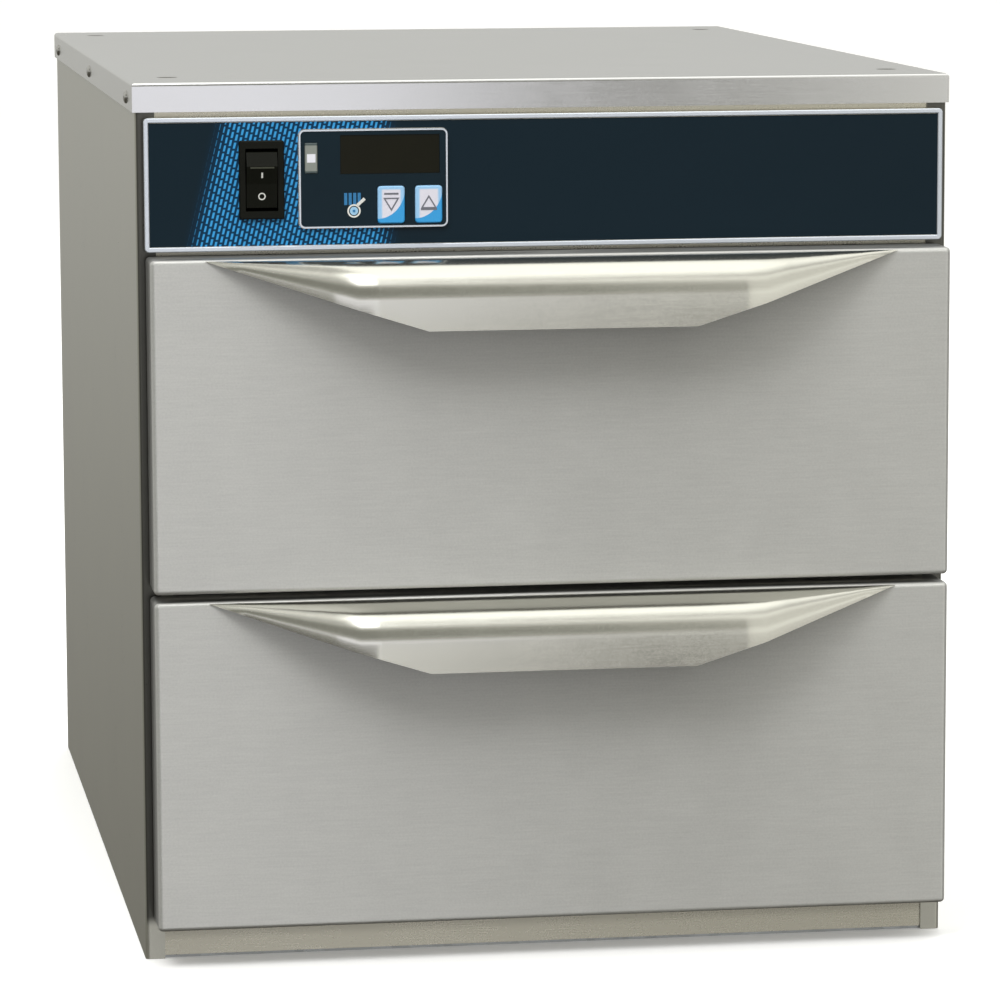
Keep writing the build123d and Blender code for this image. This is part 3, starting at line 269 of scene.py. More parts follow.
# %% Hang the cards and the lamps
LOW_ROOM, HIGH_ROOM = eye(76, 73, 65), eye(206, 206, 202)
HORIZON = (-16, 6)  # the heights between which the sky brightens
CARDS = {
    # Compass from and to, height from and to, softness across and upright, strength, tint.
    "cover_edge": ((-30, 8.7), (-4.75, 4), (0.25, 0.25), 0.88, (0.93, 0.93, 1.07)),
    "low_front": ((3.9, 8.2), (-26, -5.2), (1.6, 2.0), 1.5, (1.0, 1.0, 1.03)),
    "high_front": ((-10, 8.2), (46, 80), (2.0, 6), 3.9, (1.0, 1.0, 1.02)),
    "overhead": ((-25, 200), (60, 95), (25, 12), 1.2, (1.0, 1.0, 0.98)),
    "right": ((13.2, 60), (-20, 50), (1.2, 6.0), 0.65, (1.0, 0.99, 0.96)),
    "black": ((-70, 70), (8, 38), (20, 8), -0.32, (1.0, 1.0, 1.0)),
    "left_rear": ((-200, -110), (-30, 3), (10, 3), 0.08, (1.0, 0.99, 0.90)),
}
SKY_STRENGTH = 1.0

world = bpy.data.worlds.new("studio")
bpy.context.scene.world = world
recipe = Recipe(world)
direction = recipe.node("ShaderNodeTexCoord", {}, {}, "Generated")
across_part, depth_part, up_part = recipe.axes(direction)
compass = recipe.math("ARCTAN2", across_part, 0 - depth_part) * (180 / math.pi)
height = recipe.math("ARCSINE", up_part) * (180 / math.pi)
light = recipe.blend(recipe.ramp(height, *HORIZON), LOW_ROOM, HIGH_ROOM)
for across, tall, edges, strength, tint in CARDS.values():
    mask = recipe.band(compass, *across, edges[0]) * recipe.band(height, *tall, edges[1])
    glow = recipe.node("ShaderNodeVectorMath", {"operation": "SCALE"},
                       {0: tint, "Scale": mask * strength}, "Vector")
    light = recipe.node("ShaderNodeVectorMath", {"operation": "ADD"}, {0: light, 1: glow}, "Vector")
sky = recipe.node("ShaderNodeBackground", {}, {"Color": light, "Strength": SKY_STRENGTH})
recipe.node("ShaderNodeOutputWorld", {}, {"Surface": sky})


def soft_lamp(name, place, aim, size, power):
    """A square area lamp of that size in metres and power in watts, turned towards a point."""
    bpy.ops.object.light_add(type="AREA", location=place)
    lamp = bpy.context.object
    lamp.name = name
    lamp.data.size = size
    lamp.data.energy = power
    lamp.visible_glossy = False
    lamp.rotation_mode = "QUATERNION"
    lamp.rotation_quaternion = (Vector(aim) - Vector(place)).to_track_quat("-Z", "Y")


soft_lamp("key_lamp", place=(-0.75, -1.25, 1.6), aim=(-0.1, -0.3, 0.25), size=0.7, power=19.0)
soft_lamp("back_lamp", place=(0.3, 2.4, 2.6), aim=(0, 0.2, 0.2), size=1.8, power=40.0)
print("cards:", ", ".join(CARDS))

# %% [markdown]
# ## Brushed stainless sheet
# Sheet steel is brushed by abrasive belts, which leave fine short scratches in one direction.
# They scatter light across the grain. A noise that is stretched along the grain gives the
# scratches; it drives a little colour, roughness and bump. A slow noise gives the faint
# clouding of handled steel, and a fine one the tiny specks that catch the light. The pattern
# sits in object space, so it stays on the sheet when a drawer slides out. The scratches also
# spread light across the grain far more than along it: that is Principled's anisotropy, turned
# a quarter because its tangent runs along the grain. It gives brushed fronts their upright glow
# and the soft dark band under each drawer pull. The edges that a front turns back, the inner
# edges of the side panels, the stiles beside the drawers and the top of the bottom rail get
# painted shade: their colour is made darker, which draws the gaps.

# %% The stainless finish
GRAIN_ALONG = 60.0  # scratches per metre, along the grain
GRAIN_ACROSS = 1100.0  # and across it
SPECKS = 900.0  # specks per metre
CLOUDS = 26.0  # clouds per metre
DENT = 0.0002  # height in metres of the finest bumps of sheet and plastic
QUARTER_TURN = 0.25
# Where a mask of painted shade starts and ends, in metres from the plane or edge that its function
# names.
RETURN_START, RETURN_END = 0.0012, 0.0022
SKIN_START, SKIN_END = 0.0010, 0.0004
STILE_START, STILE_END = 0.004, 0.002
SHADE_START, SHADE_END = 0.008, 0.014
FRONT_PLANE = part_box("lower_drawer_front")[0][1]
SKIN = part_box("left_side_panel")[0][0]
DRAWER_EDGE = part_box("lower_drawer_front")[1][0]
RAIL_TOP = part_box("lower_drawer_front")[0][2]


def painted_shade_on_returns(recipe, x, y, z):
    """Painted shade on the edges that a front turns back, in the gaps beside the drawers."""
    return recipe.ramp(y, FRONT_PLANE + RETURN_START, FRONT_PLANE + RETURN_END)


def painted_shade_in_side_gaps(recipe, x, y, z):
    """Painted shade on a side panel's edges beside the drawers, all but its outer skin."""
    inner = 1 - recipe.ramp(abs(x), abs(SKIN) - SKIN_START, abs(SKIN) - SKIN_END)
    return inner * recipe.ramp(z, RAIL_TOP - 0.004, RAIL_TOP + 0.002)


def painted_shade_beside_drawers(recipe, x, y, z):
    """Painted shade on the stiles next to the drawers, and a fainter painted shadow of the drawers on
    the upper part of the bottom rail.
    """
    outside = recipe.ramp(abs(x), DRAWER_EDGE - STILE_START, DRAWER_EDGE - STILE_END)
    stiles = outside * recipe.ramp(z, RAIL_TOP, RAIL_TOP + 0.003)
    rail = recipe.ramp(z, SHADE_START, SHADE_END) * (1 - recipe.ramp(z, RAIL_TOP, RAIL_TOP + 0.004))
    return stiles + rail * 0.3


def brushed(name, along, tone, roughness, spread=0.0, metal=0.95, contrast=1.0, clouding=1.0,
            painted_shade=None, painted_shade_share=0.2):
    """Brushed metal whose grain runs in X, Y or Z (along is 0, 1 or 2).

    Spread is the anisotropy. The mask paints shade into the colour where it is 1, and the share is how
    bright that painted shade is.
    """
    material, recipe = new_finish(name)
    place = recipe.node("ShaderNodeTexCoord", {}, {}, "Object")
    stretch = [GRAIN_ACROSS] * 3
    stretch[along] = GRAIN_ALONG
    stretched = recipe.node("ShaderNodeMapping", {}, {"Vector": place, "Scale": stretch})
    fibres = recipe.noise(stretched, 1.0, 3.0, 0.65)
    specks = recipe.noise(place, SPECKS, 1.0)
    clouds = recipe.noise(place, CLOUDS, 4.0, 0.6)
    grain = (fibres - 0.5) * 0.6 + (specks - 0.5) * 0.5
    light = 0.5 + grain * contrast + (clouds - 0.5) * (0.5 * clouding)
    colour = recipe.blend(light, shaded(tone, 0.84), shaded(tone, 1.14))
    # Painted shade: where the mask is 1 the colour turns darker, standing in for the shade in the gaps.
    if painted_shade:
        colour = recipe.blend(painted_shade(recipe, *recipe.axes(place)), colour, shaded(tone, painted_shade_share))
    bumped = recipe.node("ShaderNodeBump", {}, {
        "Strength": 0.08 * contrast, "Distance": DENT, "Height": fibres + specks * 0.6})
    recipe.surface(
        Base_Color=colour, Metallic=metal,
        Roughness=roughness + grain * 0.10 + (clouds - 0.5) * 0.06, Normal=bumped,
        Anisotropic=spread, Anisotropic_Rotation=QUARTER_TURN,
    )
    return material


# The fronts, the side panels and the frame get painted shade at their gaps through their masks.
drawer_steel = brushed("drawer_steel", 0, eye(216, 216, 212), 0.36, spread=1.0, metal=0.6,
                       painted_shade=painted_shade_on_returns, painted_shade_share=0.42)
cover_steel = brushed("cover_steel", 0, eye(206, 206, 204), 0.13, contrast=0.4, clouding=0.6)
side_steel = brushed("side_steel", 1, eye(196, 195, 184), 0.30, spread=0.4, metal=0.85,
                     contrast=0.4, painted_shade=painted_shade_in_side_gaps)
hood_steel = brushed("hood_steel", 0, eye(204, 203, 193), 0.17, contrast=0.5, clouding=0.5)
frame_steel = brushed("frame_steel", 0, eye(206, 202, 186), 0.28, spread=0.4, metal=0.8,
                      contrast=0.2, clouding=0.25, painted_shade=painted_shade_beside_drawers)
finish_parts(drawer_steel, *both("drawer_front"))
finish_parts(cover_steel, "top_cover")
finish_parts(side_steel, "left_side_panel", "right_side_panel")
finish_parts(frame_steel, "front_frame", "control_panel", *both("drawer_inner_panel"))
print("steel sheet finished")

# %% [markdown]
# ## The pressed drawer pulls
# Each pull is a sheet pressed into a hood, with a round shoulder that runs out in a cone at
# both ends. The solid has flats round its shoulder, which a press would never leave. A merged
# copy of the solid stands for it: extra loops on both sides of the creases keep the shading
# of the long flat faces even, and smooth shading then turns the flats into one curve.

# %% Smooth the hoods
CREASE_LOOPS = (0.086, 0.093, 0.117, 0.130, 0.145, 0.160)  # to both sides of the middle
MERGE = 1e-5
FLAT = math.radians(0.5)  # faces that differ by less are joined
HOOD_TURN = math.radians(34)


def merged_copy(node, name):
    """A copy of a solid part with its seams welded and its flat faces joined."""
    bpy.ops.object.select_all(action="DESELECT")
    source = nodes[node]
    source.select_set(True)
    bpy.context.view_layer.objects.active = source
    bpy.ops.object.duplicate()
    copy = bpy.context.object
    copy.name = name
    bpy.ops.mesh.customdata_custom_splitnormals_clear()
    bpy.ops.object.mode_set(mode="EDIT")
    bpy.ops.mesh.select_all(action="SELECT")
    bpy.ops.mesh.remove_doubles(threshold=MERGE)
    bpy.ops.mesh.dissolve_limited(angle_limit=FLAT)
    bpy.ops.object.mode_set(mode="OBJECT")
    return copy


def cut_loops(piece, point, normal):
    """Cuts a flat loop round the piece."""
    bpy.context.view_layer.objects.active = piece
    bpy.ops.object.mode_set(mode="EDIT")
    bpy.ops.mesh.select_all(action="SELECT")
    bpy.ops.mesh.bisect(plane_co=point, plane_no=normal)
    bpy.ops.object.mode_set(mode="OBJECT")


for drawer in DRAWERS:
    hood = merged_copy(f"{drawer}_drawer_handle", f"{drawer}_hood")
    for distance in CREASE_LOOPS:
        for side in (-1, 1):
            cut_loops(hood, (side * distance, 0, 0), (1, 0, 0))
    bpy.ops.object.shade_smooth_by_angle(angle=HOOD_TURN)
    hood.data.materials.clear()
    hood.data.materials.append(hood_steel)
    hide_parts(f"{drawer}_drawer_handle")
    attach(hood, f"{drawer}_drawer")
    print(hood.name, "faces", len(hood.data.polygons))

# %% [markdown]
# ## Sheet that nobody polishes
# Behind the fronts the maker uses cheaper surfaces. Galvanised sheet shows its zinc as grey
# crystals of many shades, which a cell texture gives: each crystal has its own tone. The
# cavities and the pan carriers are plain mill-finish stainless, cloudy but without a grain.
# Slides and threaded inserts are zinc plated, with a slight yellow-blue tinge.

# %% Galvanised, mill-finish and plated steel
def spangled(name, tone, size):
    """Zinc crystals of that size in metres."""
    material, recipe = new_finish(name)
    place = recipe.node("ShaderNodeTexCoord", {}, {}, "Object")
    crystals = recipe.node(
        "ShaderNodeTexVoronoi", {"feature": "F1"}, {"Vector": place, "Scale": 1 / size}, "Color"
    )
    tones = recipe.axes(crystals)
    share = tones[0] * 0.7 + recipe.noise(place, 3 / size) * 0.3
    recipe.surface(
        Base_Color=recipe.blend(share, shaded(tone, 0.86), shaded(tone, 1.12)), Metallic=0.65,
        Roughness=0.34 + tones[1] * 0.16,
    )
    return material


def milled(name, tone, roughness, metal=0.9, tinge=None):
    """Plain sheet with slow clouds and fine pits."""
    material, recipe = new_finish(name)
    place = recipe.node("ShaderNodeTexCoord", {}, {}, "Object")
    clouds = recipe.noise(place, 34.0, 5.0, 0.6)
    pits = recipe.noise(place, 1400.0, 1.0)
    colour = recipe.blend(clouds * 0.7 + pits * 0.3, shaded(tone, 0.86), tinge or shaded(tone, 1.1))
    recipe.surface(
        Base_Color=colour, Metallic=metal, Roughness=roughness + (clouds - 0.5) * 0.08,
        Normal=recipe.node("ShaderNodeBump", {}, {"Strength": 0.06, "Distance": DENT, "Height": pits}),
    )
    return material


galvanised = spangled("galvanised_sheet", eye(178, 181, 182), 0.011)
mill_steel = milled("mill_steel", eye(188, 187, 180), 0.33)
plated_steel = milled("plated_steel", eye(184, 186, 188), 0.28, 0.95, eye(206, 204, 188))
bright_screw = milled("bright_screw", eye(206, 205, 200), 0.2, 0.95)
trim_metal = milled("trim_metal", eye(214, 220, 228), 0.22, 0.5)
sensor_tube = milled("sensor_tube", eye(200, 199, 194), 0.22, 0.95)
finish_parts(galvanised, "base_pan", "rear_panel", "control_shelf")
finish_parts(mill_steel, *both("liner"), *both("drawer_frame"))
finish_parts(
    plated_steel, "leg_inserts", *both("outer_slides"), *both("mid_slides"), *both("inner_slides")
)
finish_parts(bright_screw, "switch_terminals")
finish_parts(trim_metal, "panel_trim", "controller_frame")
finish_parts(sensor_tube, "temperature_sensor")
print("plain metals finished")

# %% [markdown]
# ## The food pan
# The pan is deep drawn from one sheet of stainless and polished all over, so its satin has no
# direction. Use leaves fine scratches across its floor. Its solid has flats round the corners,
# so a merged and smoothed copy stands for it, like the pulls. The wide flat walls get extra
# loops near each corner, which keeps the smooth shading to the corners alone.

# %% Finish and smooth the pans
PAN_TURN = math.radians(26)
CORNER_LOOPS = (0.052, 0.058)  # in from the pan's outline, past its round corners
SCRATCH_TURN = 0.6  # radians

pan_steel, recipe = new_finish("pan_steel")
place = recipe.node("ShaderNodeTexCoord", {}, {}, "Object")
satin = recipe.noise(place, 520.0, 2.0)
clouds = recipe.noise(place, 18.0, 4.0)
turned = recipe.node("ShaderNodeMapping", {}, {
    "Vector": place, "Rotation": (0, 0, SCRATCH_TURN), "Scale": (30.0, 900.0, 900.0)})
scratches = recipe.ramp(recipe.noise(turned, 1.0, 2.0), 0.62, 0.78)
wear = satin * 0.5 + clouds * 0.4 + scratches * 0.1
recipe.surface(
    Base_Color=recipe.blend(wear, eye(186, 185, 180), eye(222, 221, 217)), Metallic=0.95,
    Roughness=0.26 + clouds * 0.06 + scratches * 0.03,
    Normal=recipe.node("ShaderNodeBump", {}, {"Strength": 0.05, "Distance": DENT, "Height": wear}),
)
for drawer in DRAWERS:
    pan = merged_copy(f"{drawer}_food_pan", f"{drawer}_pan")
    low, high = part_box(f"{drawer}_food_pan")
    for inset in CORNER_LOOPS:
        for x in (low[0] + inset, high[0] - inset):
            cut_loops(pan, (x, 0, 0), (1, 0, 0))
        for y in (low[1] + inset, high[1] - inset):
            cut_loops(pan, (0, y, 0), (0, 1, 0))
    bpy.ops.object.shade_smooth_by_angle(angle=PAN_TURN)
    pan.data.materials.clear()
    pan.data.materials.append(pan_steel)
    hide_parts(f"{drawer}_food_pan")
    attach(pan, f"{drawer}_drawer")
    print(pan.name, "faces", len(pan.data.polygons))

# %% [markdown]
# ## Moulded plastic and rubber
# Moulded plastic takes the fine texture that is etched in its mould. A noise bump about half
# a millimetre wide gives it, and a slower noise varies the sheen where fingers polish it.
# Silicone is more matt, with a coarser texture.

# %% Plastics and rubber
def moulded(name, tone, roughness, texture=1800.0, strength=0.12, gloss=0.5):
    """Plastic or rubber with that many texture grains per metre; gloss is how much it mirrors."""
    material, recipe = new_finish(name)
    place = recipe.node("ShaderNodeTexCoord", {}, {}, "Object")
    etched = recipe.noise(place, texture, 1.0)
    rubbed = recipe.noise(place, 60.0, 3.0)
    bumped = recipe.node(
        "ShaderNodeBump", {}, {"Strength": strength, "Distance": DENT, "Height": etched}
    )
    recipe.surface(
        Base_Color=recipe.blend(etched * 0.5 + rubbed * 0.5, shaded(tone, 0.8), shaded(tone, 1.25)),
        Roughness=roughness + (rubbed - 0.5) * 0.2, Normal=bumped, Specular_IOR_Level=gloss,
    )
    return material


switch_black = moulded("switch_black", eye(17, 18, 12), 0.4, gloss=0.14)
plug_grey = moulded("plug_grey", eye(84, 83, 76), 0.5, gloss=0.3)
gland_black = moulded("gland_black", eye(26, 26, 27), 0.5)
case_black = moulded("case_black", eye(34, 35, 37), 0.45)
terminal_white = moulded("terminal_white", eye(214, 210, 198), 0.5)
silicone_red = moulded("silicone_red", eye(136, 60, 44), 0.62, 900.0, 0.2)
silicone_grey = moulded("silicone_grey", eye(52, 50, 46), 0.7, 900.0, 0.2)
finish_parts(switch_black, "switch_housing", "rocker")
finish_parts(plug_grey, "hole_plugs")
finish_parts(gland_black, "cord_gland")
finish_parts(case_black, "controller_case", "power_relay")
finish_parts(terminal_white, "terminal_block")
finish_parts(silicone_red, *both("heating_cable"))
finish_parts(silicone_grey, *both("drawer_gasket"))
print("plastics finished")

# %% [markdown]
# ## Inside the control bay and the walls
# Four finishes are seen only when the cabinet is opened: green circuit board with its woven
# glass, varnished transformer plates stacked side by side, unglazed ceramic, and yellow glass
# wool. The plates are a fine wave across the stack, the wool a coarse tangle of noise.

# %% Board, core, ceramic and wool
board_green, recipe = new_finish("board_green")
place = recipe.node("ShaderNodeTexCoord", {}, {}, "Object")
tracks = recipe.node("ShaderNodeTexVoronoi", {"feature": "F1", "distance": "CHEBYCHEV"},
                     {"Vector": place, "Scale": 260.0}, "Distance")
weave = recipe.noise(place, 2400.0, 1.0)
copper = recipe.ramp(tracks, 0.3, 0.36) * 0.8 + weave * 0.2
recipe.surface(
    Base_Color=recipe.blend(copper, eye(20, 74, 44), eye(44, 112, 62)),
    Roughness=0.3 + weave * 0.2,
)
finish_parts(board_green, "control_board")

core_plates, recipe = new_finish("core_plates")
place = recipe.node("ShaderNodeTexCoord", {}, {}, "Object")
plates = recipe.node("ShaderNodeTexWave", {"bands_direction": "Y"}, {
    "Vector": place, "Scale": 320.0, "Distortion": 0.3}, "Fac")
varnish = recipe.noise(place, 120.0, 3.0)
recipe.surface(
    Base_Color=recipe.blend(plates * 0.6 + varnish * 0.4, eye(48, 42, 36), eye(112, 98, 80)),
    Metallic=0.5, Roughness=0.4 + varnish * 0.2,
    Normal=recipe.node("ShaderNodeBump", {}, {"Strength": 0.3, "Distance": 0.0003, "Height": plates}),
)
finish_parts(core_plates, "transformer")
ceramic = moulded("ceramic", eye(222, 214, 196), 0.6, 1200.0, 0.15)
finish_parts(ceramic, "limit_thermostat")

glass_wool, recipe = new_finish("glass_wool")
place = recipe.node("ShaderNodeTexCoord", {}, {}, "Object")
tangle = recipe.noise(place, 260.0, 8.0, 0.75)
flattened = recipe.node("ShaderNodeMapping", {}, {"Vector": place, "Scale": (8, 8, 160)})
layers = recipe.noise(flattened, 1.0, 3.0)
recipe.surface(
    Base_Color=recipe.blend(tangle * 0.6 + layers * 0.4, eye(176, 142, 62), eye(240, 218, 150)),
    Roughness=0.9 + tangle * 0.08,
    Normal=recipe.node("ShaderNodeBump", {}, {"Strength": 0.7, "Distance": 0.002, "Height": tangle}),
)
finish_parts(
    glass_wool, "left_insulation", "right_insulation", "rear_insulation", "middle_insulation",
    "bottom_insulation", *both("drawer_insulation"),
)
print("inside finished")

# %% [markdown]
# ## The printed control strip
# The strip is a navy film, printed from behind, with a satin face. Round the switch a field of
# bright blue dashes fades away to both sides. Each dash is a cell of a grid whose columns lean
# and slip a third of a step, so Modulo folds the whole strip into one cell. A mask that fades
# with the distance from the switch sets how wide the dashes grow. A slight wave in the height
# of the film keeps its sheen from looking like glass.

# %% The navy film
NAVY, DEEP_BLUE, SKY_BLUE = eye(14, 33, 43), eye(6, 52, 84), eye(62, 160, 222)
DASH_PITCH, DASH_PERIOD, DASH_SLIP = 0.0024, 0.00405, 0.00135
DASH_WIDTH, DASH_HEIGHT = 0.00115, 0.0030
DASH_SOFT = (0.0001, 0.0002)  # the blur of a dash's edges, across and along
FIELD_LEAN = 0.25  # how far the columns lean for each metre down
FADE_IN = (0.026, 0.012)  # the field starts that far to the left of the switch's middle
FADE_OUT = (0.056, 0.072)  # and ends that far to the right of it
switch_low, switch_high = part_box("switch_housing")
switch_x = (switch_low[0] + switch_high[0]) / 2
film_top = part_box("panel_overlay")[1][2]

navy_film, recipe = new_finish("navy_film")
place = recipe.node("ShaderNodeTexCoord", {}, {}, "Object")
x, y, z = recipe.axes(place)
leaned = x + (film_top - z) * FIELD_LEAN
across = leaned % DASH_PITCH - DASH_PITCH / 2
slipped = z + leaned // DASH_PITCH * DASH_SLIP
along = slipped % DASH_PERIOD - DASH_PERIOD / 2
risen = recipe.ramp(leaned, switch_x - FADE_IN[0], switch_x - FADE_IN[1])
size = risen * (1 - recipe.ramp(x, switch_x + FADE_OUT[0], switch_x + FADE_OUT[1]))
within_width = recipe.ramp(size * (DASH_WIDTH / 2) - abs(across), -DASH_SOFT[0], DASH_SOFT[0])
within_height = recipe.ramp(DASH_HEIGHT / 2 - abs(along), -DASH_SOFT[1], DASH_SOFT[1])
dashes = within_width * within_height * recipe.ramp(size, 0.0, 0.9)
ground = recipe.blend(size, NAVY, DEEP_BLUE)
slow = recipe.noise(place, 40.0, 2.0)
recipe.surface(
    Base_Color=recipe.blend(dashes, ground, SKY_BLUE), Roughness=0.34 + slow * 0.08,
    Specular_IOR_Level=0.15,
    Normal=recipe.node("ShaderNodeBump", {}, {"Strength": 0.05, "Distance": 0.0005, "Height": slow}),
)
finish_parts(navy_film, "panel_overlay")
print("film printed, columns every", DASH_PITCH * 1000, "mm")

# %% [markdown]
# ## The temperature controller
# Its face is the same navy, a little darker, with a smoked window. The lamp shows a bright
# square in the middle of a grey lens. The keys are white, shade to pale blue at the rim, and
# have a bright blue lower right corner with a curved edge, drawn as the outside of a large oval.
# All of this is printed colour, so masks made from the distance to each piece's middle draw it.

# %% Controller face, window, lamp and keys
GLOW_SHARE = 0.68  # of the lamp's width
PRINT_SOFT = 0.0001
KEY_FLANGE = 0.0006  # a key's box holds its flange too, wider than its cap on each side
RIM_SIDE, RIM_END = (0.0027, 0.0016), (0.0022, 0.0012)
CORNER_RADIUS = (0.0163, 0.0167)
CORNER_OVAL = 1.35

fascia_film, recipe = new_finish("fascia_film")
place = recipe.node("ShaderNodeTexCoord", {}, {}, "Object")
slow = recipe.noise(place, 70.0, 2.0)
recipe.surface(
    Base_Color=recipe.blend(slow, eye(14, 31, 40), eye(19, 37, 46)), Roughness=0.32 + slow * 0.1,
    Specular_IOR_Level=0.15,
)
finish_parts(fascia_film, "controller_fascia")

smoked_window, recipe = new_finish("smoked_window")
place = recipe.node("ShaderNodeTexCoord", {}, {}, "Object")
haze = recipe.noise(place, 90.0, 3.0)
recipe.surface(
    Base_Color=recipe.blend(haze, eye(20, 20, 8), eye(27, 26, 15)), Roughness=0.12 + haze * 0.1,
    Specular_IOR_Level=0.1,
)
finish_parts(smoked_window, "display_window")


def middle_of(name):
    """A part's middle and its three sizes."""
    corners = list(zip(*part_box(name)))
    return [(low + high) / 2 for low, high in corners], [high - low for low, high in corners]


lamp_lens, recipe = new_finish("lamp_lens")
place = recipe.node("ShaderNodeTexCoord", {}, {}, "Object")
x, y, z = recipe.axes(place)
(lamp_x, _, lamp_z), (lamp_width, _, lamp_height) = middle_of("indicator_light")
glow_half = lamp_width * GLOW_SHARE / 2
square = recipe.band(x, lamp_x - glow_half, lamp_x + glow_half, PRINT_SOFT) * recipe.band(
    z, lamp_z - glow_half, lamp_z + glow_half, PRINT_SOFT)
ends = recipe.ramp(abs(z - lamp_z), lamp_height * 0.40, lamp_height * 0.44)
lens = recipe.blend(square, recipe.blend(ends, eye(138, 143, 136), eye(72, 84, 84)), eye(238, 238, 246))
recipe.surface(Base_Color=lens, Roughness=0.3 + recipe.noise(place, 300.0) * 0.1)
finish_parts(lamp_lens, "indicator_light")

KEYS = {"key_down": "down_button", "key_up": "up_button"}
for key in KEYS:
    printed, recipe = new_finish(f"{key}_print")
    place = recipe.node("ShaderNodeTexCoord", {}, {}, "Object")
    x, y, z = recipe.axes(place)
    (key_x, _, key_z), (key_width, _, key_height) = middle_of(key)
    half_x, half_z = key_width / 2 - KEY_FLANGE, key_height / 2 - KEY_FLANGE
    rim = recipe.ramp(abs(x - key_x), half_x - RIM_SIDE[0], half_x - RIM_SIDE[1])
    ends = recipe.ramp(abs(z - key_z), half_z - RIM_END[0], half_z - RIM_END[1])
    border = rim + ends - rim * ends
    from_x, from_z = x - (key_x - half_x), z - (key_z + half_z)
    squared = from_x * from_x * CORNER_OVAL + from_z * from_z
    corner = recipe.ramp(recipe.math("SQRT", squared), *CORNER_RADIUS)
    cap = recipe.blend(border, eye(228, 226, 237), eye(158, 206, 244))
    cap = recipe.blend(corner, cap, eye(52, 160, 224))
    recipe.surface(Base_Color=cap, Roughness=0.36 + recipe.noise(place, 400.0) * 0.1)
    finish_parts(printed, key)
print("controller finished")

# %% [markdown]
# ## Printed signs as thin plates
# The signs on the keys and on the switch are raised ink. An outline such as a ring or an open
# triangle starts as a filled circle of that many sides: its face is inset, the inner face is
# deleted, and Solidify gives the ink its thickness. The helper lays it upright, facing the
# viewer, leans it to its surface, and applies its place, so the piece itself stays at the origin.

# %% Outlines in ink
INK = 0.00012
BAR = (4, 0.0010, 0)  # sides, radius and border of a bar before it is stretched
KEY_SIGNS = {
    # How far the triangle and the bar sit above the key's middle, the triangle's turn in
    # degrees, and the bar's stretch.
    "key_down": (0.0013, 0.0056, 180, 5.2),
    "key_up": (0.0002, -0.0025, 0, 5.8),
}

ink_grey = moulded("ink_grey", eye(112, 114, 124), 0.5)
ink_white = moulded("ink_white", eye(226, 226, 220), 0.5)
ink_blue = moulded("ink_blue", eye(46, 120, 172), 0.5)
ink_pale = moulded("ink_pale", eye(158, 202, 232), 0.5)
# This grey ink paints the highlight along the rocker's crest.
crest_highlight_ink = moulded("crest_highlight_ink", eye(74, 76, 64), 0.5)


def settle(piece, place, lean, size, turn=0.0):
    """Stands a flat piece up, scales, turns and leans it, moves it to its place and applies all."""
    piece.rotation_mode = "XYZ"
    piece.scale = (size[0], size[1], 1.0)
    bpy.ops.object.transform_apply(location=True, rotation=True, scale=True)
    piece.rotation_euler = (math.radians(90), math.radians(turn), 0)
    bpy.ops.object.transform_apply(location=True, rotation=True, scale=True)
    piece.rotation_euler = (lean, 0, 0)
    piece.location = place
    bpy.ops.object.transform_apply(location=True, rotation=True, scale=True)


def thicken(piece, depth):
    """Gives a flat piece its thickness, half to each side."""
    solid = piece.modifiers.new("thickness", "SOLIDIFY")
    solid.thickness, solid.offset = depth, 0.0
    bpy.ops.object.modifier_apply(modifier=solid.name)


def ink(name, sides, radius, border, place, material, body, slot, lean=0.0, size=(1, 1), turn=0.0):
    """A filled shape, or an open outline where a border is given."""
    bpy.ops.object.select_all(action="DESELECT")
    bpy.ops.mesh.primitive_circle_add(vertices=sides, radius=radius, fill_type="NGON")
    piece = bpy.context.object
    piece.name = name
    if sides == 4:  # a bar: its edges are turned level before it is stretched
        piece.rotation_euler = (0, 0, math.radians(45))
        bpy.ops.object.transform_apply(location=False, rotation=True, scale=False)
    if border:
        bpy.ops.object.mode_set(mode="EDIT")
        bpy.ops.mesh.select_all(action="SELECT")
        bpy.ops.mesh.inset(thickness=border)
        bpy.ops.mesh.delete(type="FACE")
        bpy.ops.object.mode_set(mode="OBJECT")
    thicken(piece, INK)
    settle(piece, place, lean, size, turn)
    piece.data.materials.append(material)
    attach(piece, body)


for key, body in KEYS.items():
    (key_x, _, key_z), _ = middle_of(key)
    key_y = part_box(key)[0][1] - INK / 2
    triangle_rise, bar_rise, turn, stretch = KEY_SIGNS[key]
    ink(f"{key}_triangle", 3, 0.0048, 0.0007, (key_x, key_y, key_z + triangle_rise), ink_grey, body,
        "key_cap", size=(1.0, 0.95), turn=turn)
    ink(f"{key}_bar", *BAR, (key_x, key_y, key_z + bar_rise), ink_grey, body, "key_cap",
        size=(stretch, 0.65))
print("key signs drawn")

# %% [markdown]
# ## Signs on the switch and on the controller
# The rocker carries the two generic signs of a mains switch, a bar for on and a ring for off,
# and a painted highlight along its crest: a strip of grey ink for the light on that edge. Both
# halves of the rocker lean, so each sign leans with its half. The controller shows a small
# thermometer: a pale bulb with a ring and a dot, a slanted stem, and a row of blue bars.

# %% Draw the switch signs and the thermometer
UPPER_LEAN, LOWER_LEAN = math.radians(13.7), math.radians(8.5)
# Points on the rocker's face: its upper edge, the crease between its halves and its lower edge.
CREST = Vector((switch_x, -0.28508, 0.4088))
VALLEY = Vector((switch_x, -0.28288, 0.3998))
FOOT = Vector((switch_x, -0.28108, 0.3877))
ON_PLACE = CREST.lerp(VALLEY, 0.50)
OFF_PLACE = VALLEY.lerp(FOOT, 0.52)
CREST_HIGHLIGHT_PLACE = CREST.lerp(VALLEY, 0.07)

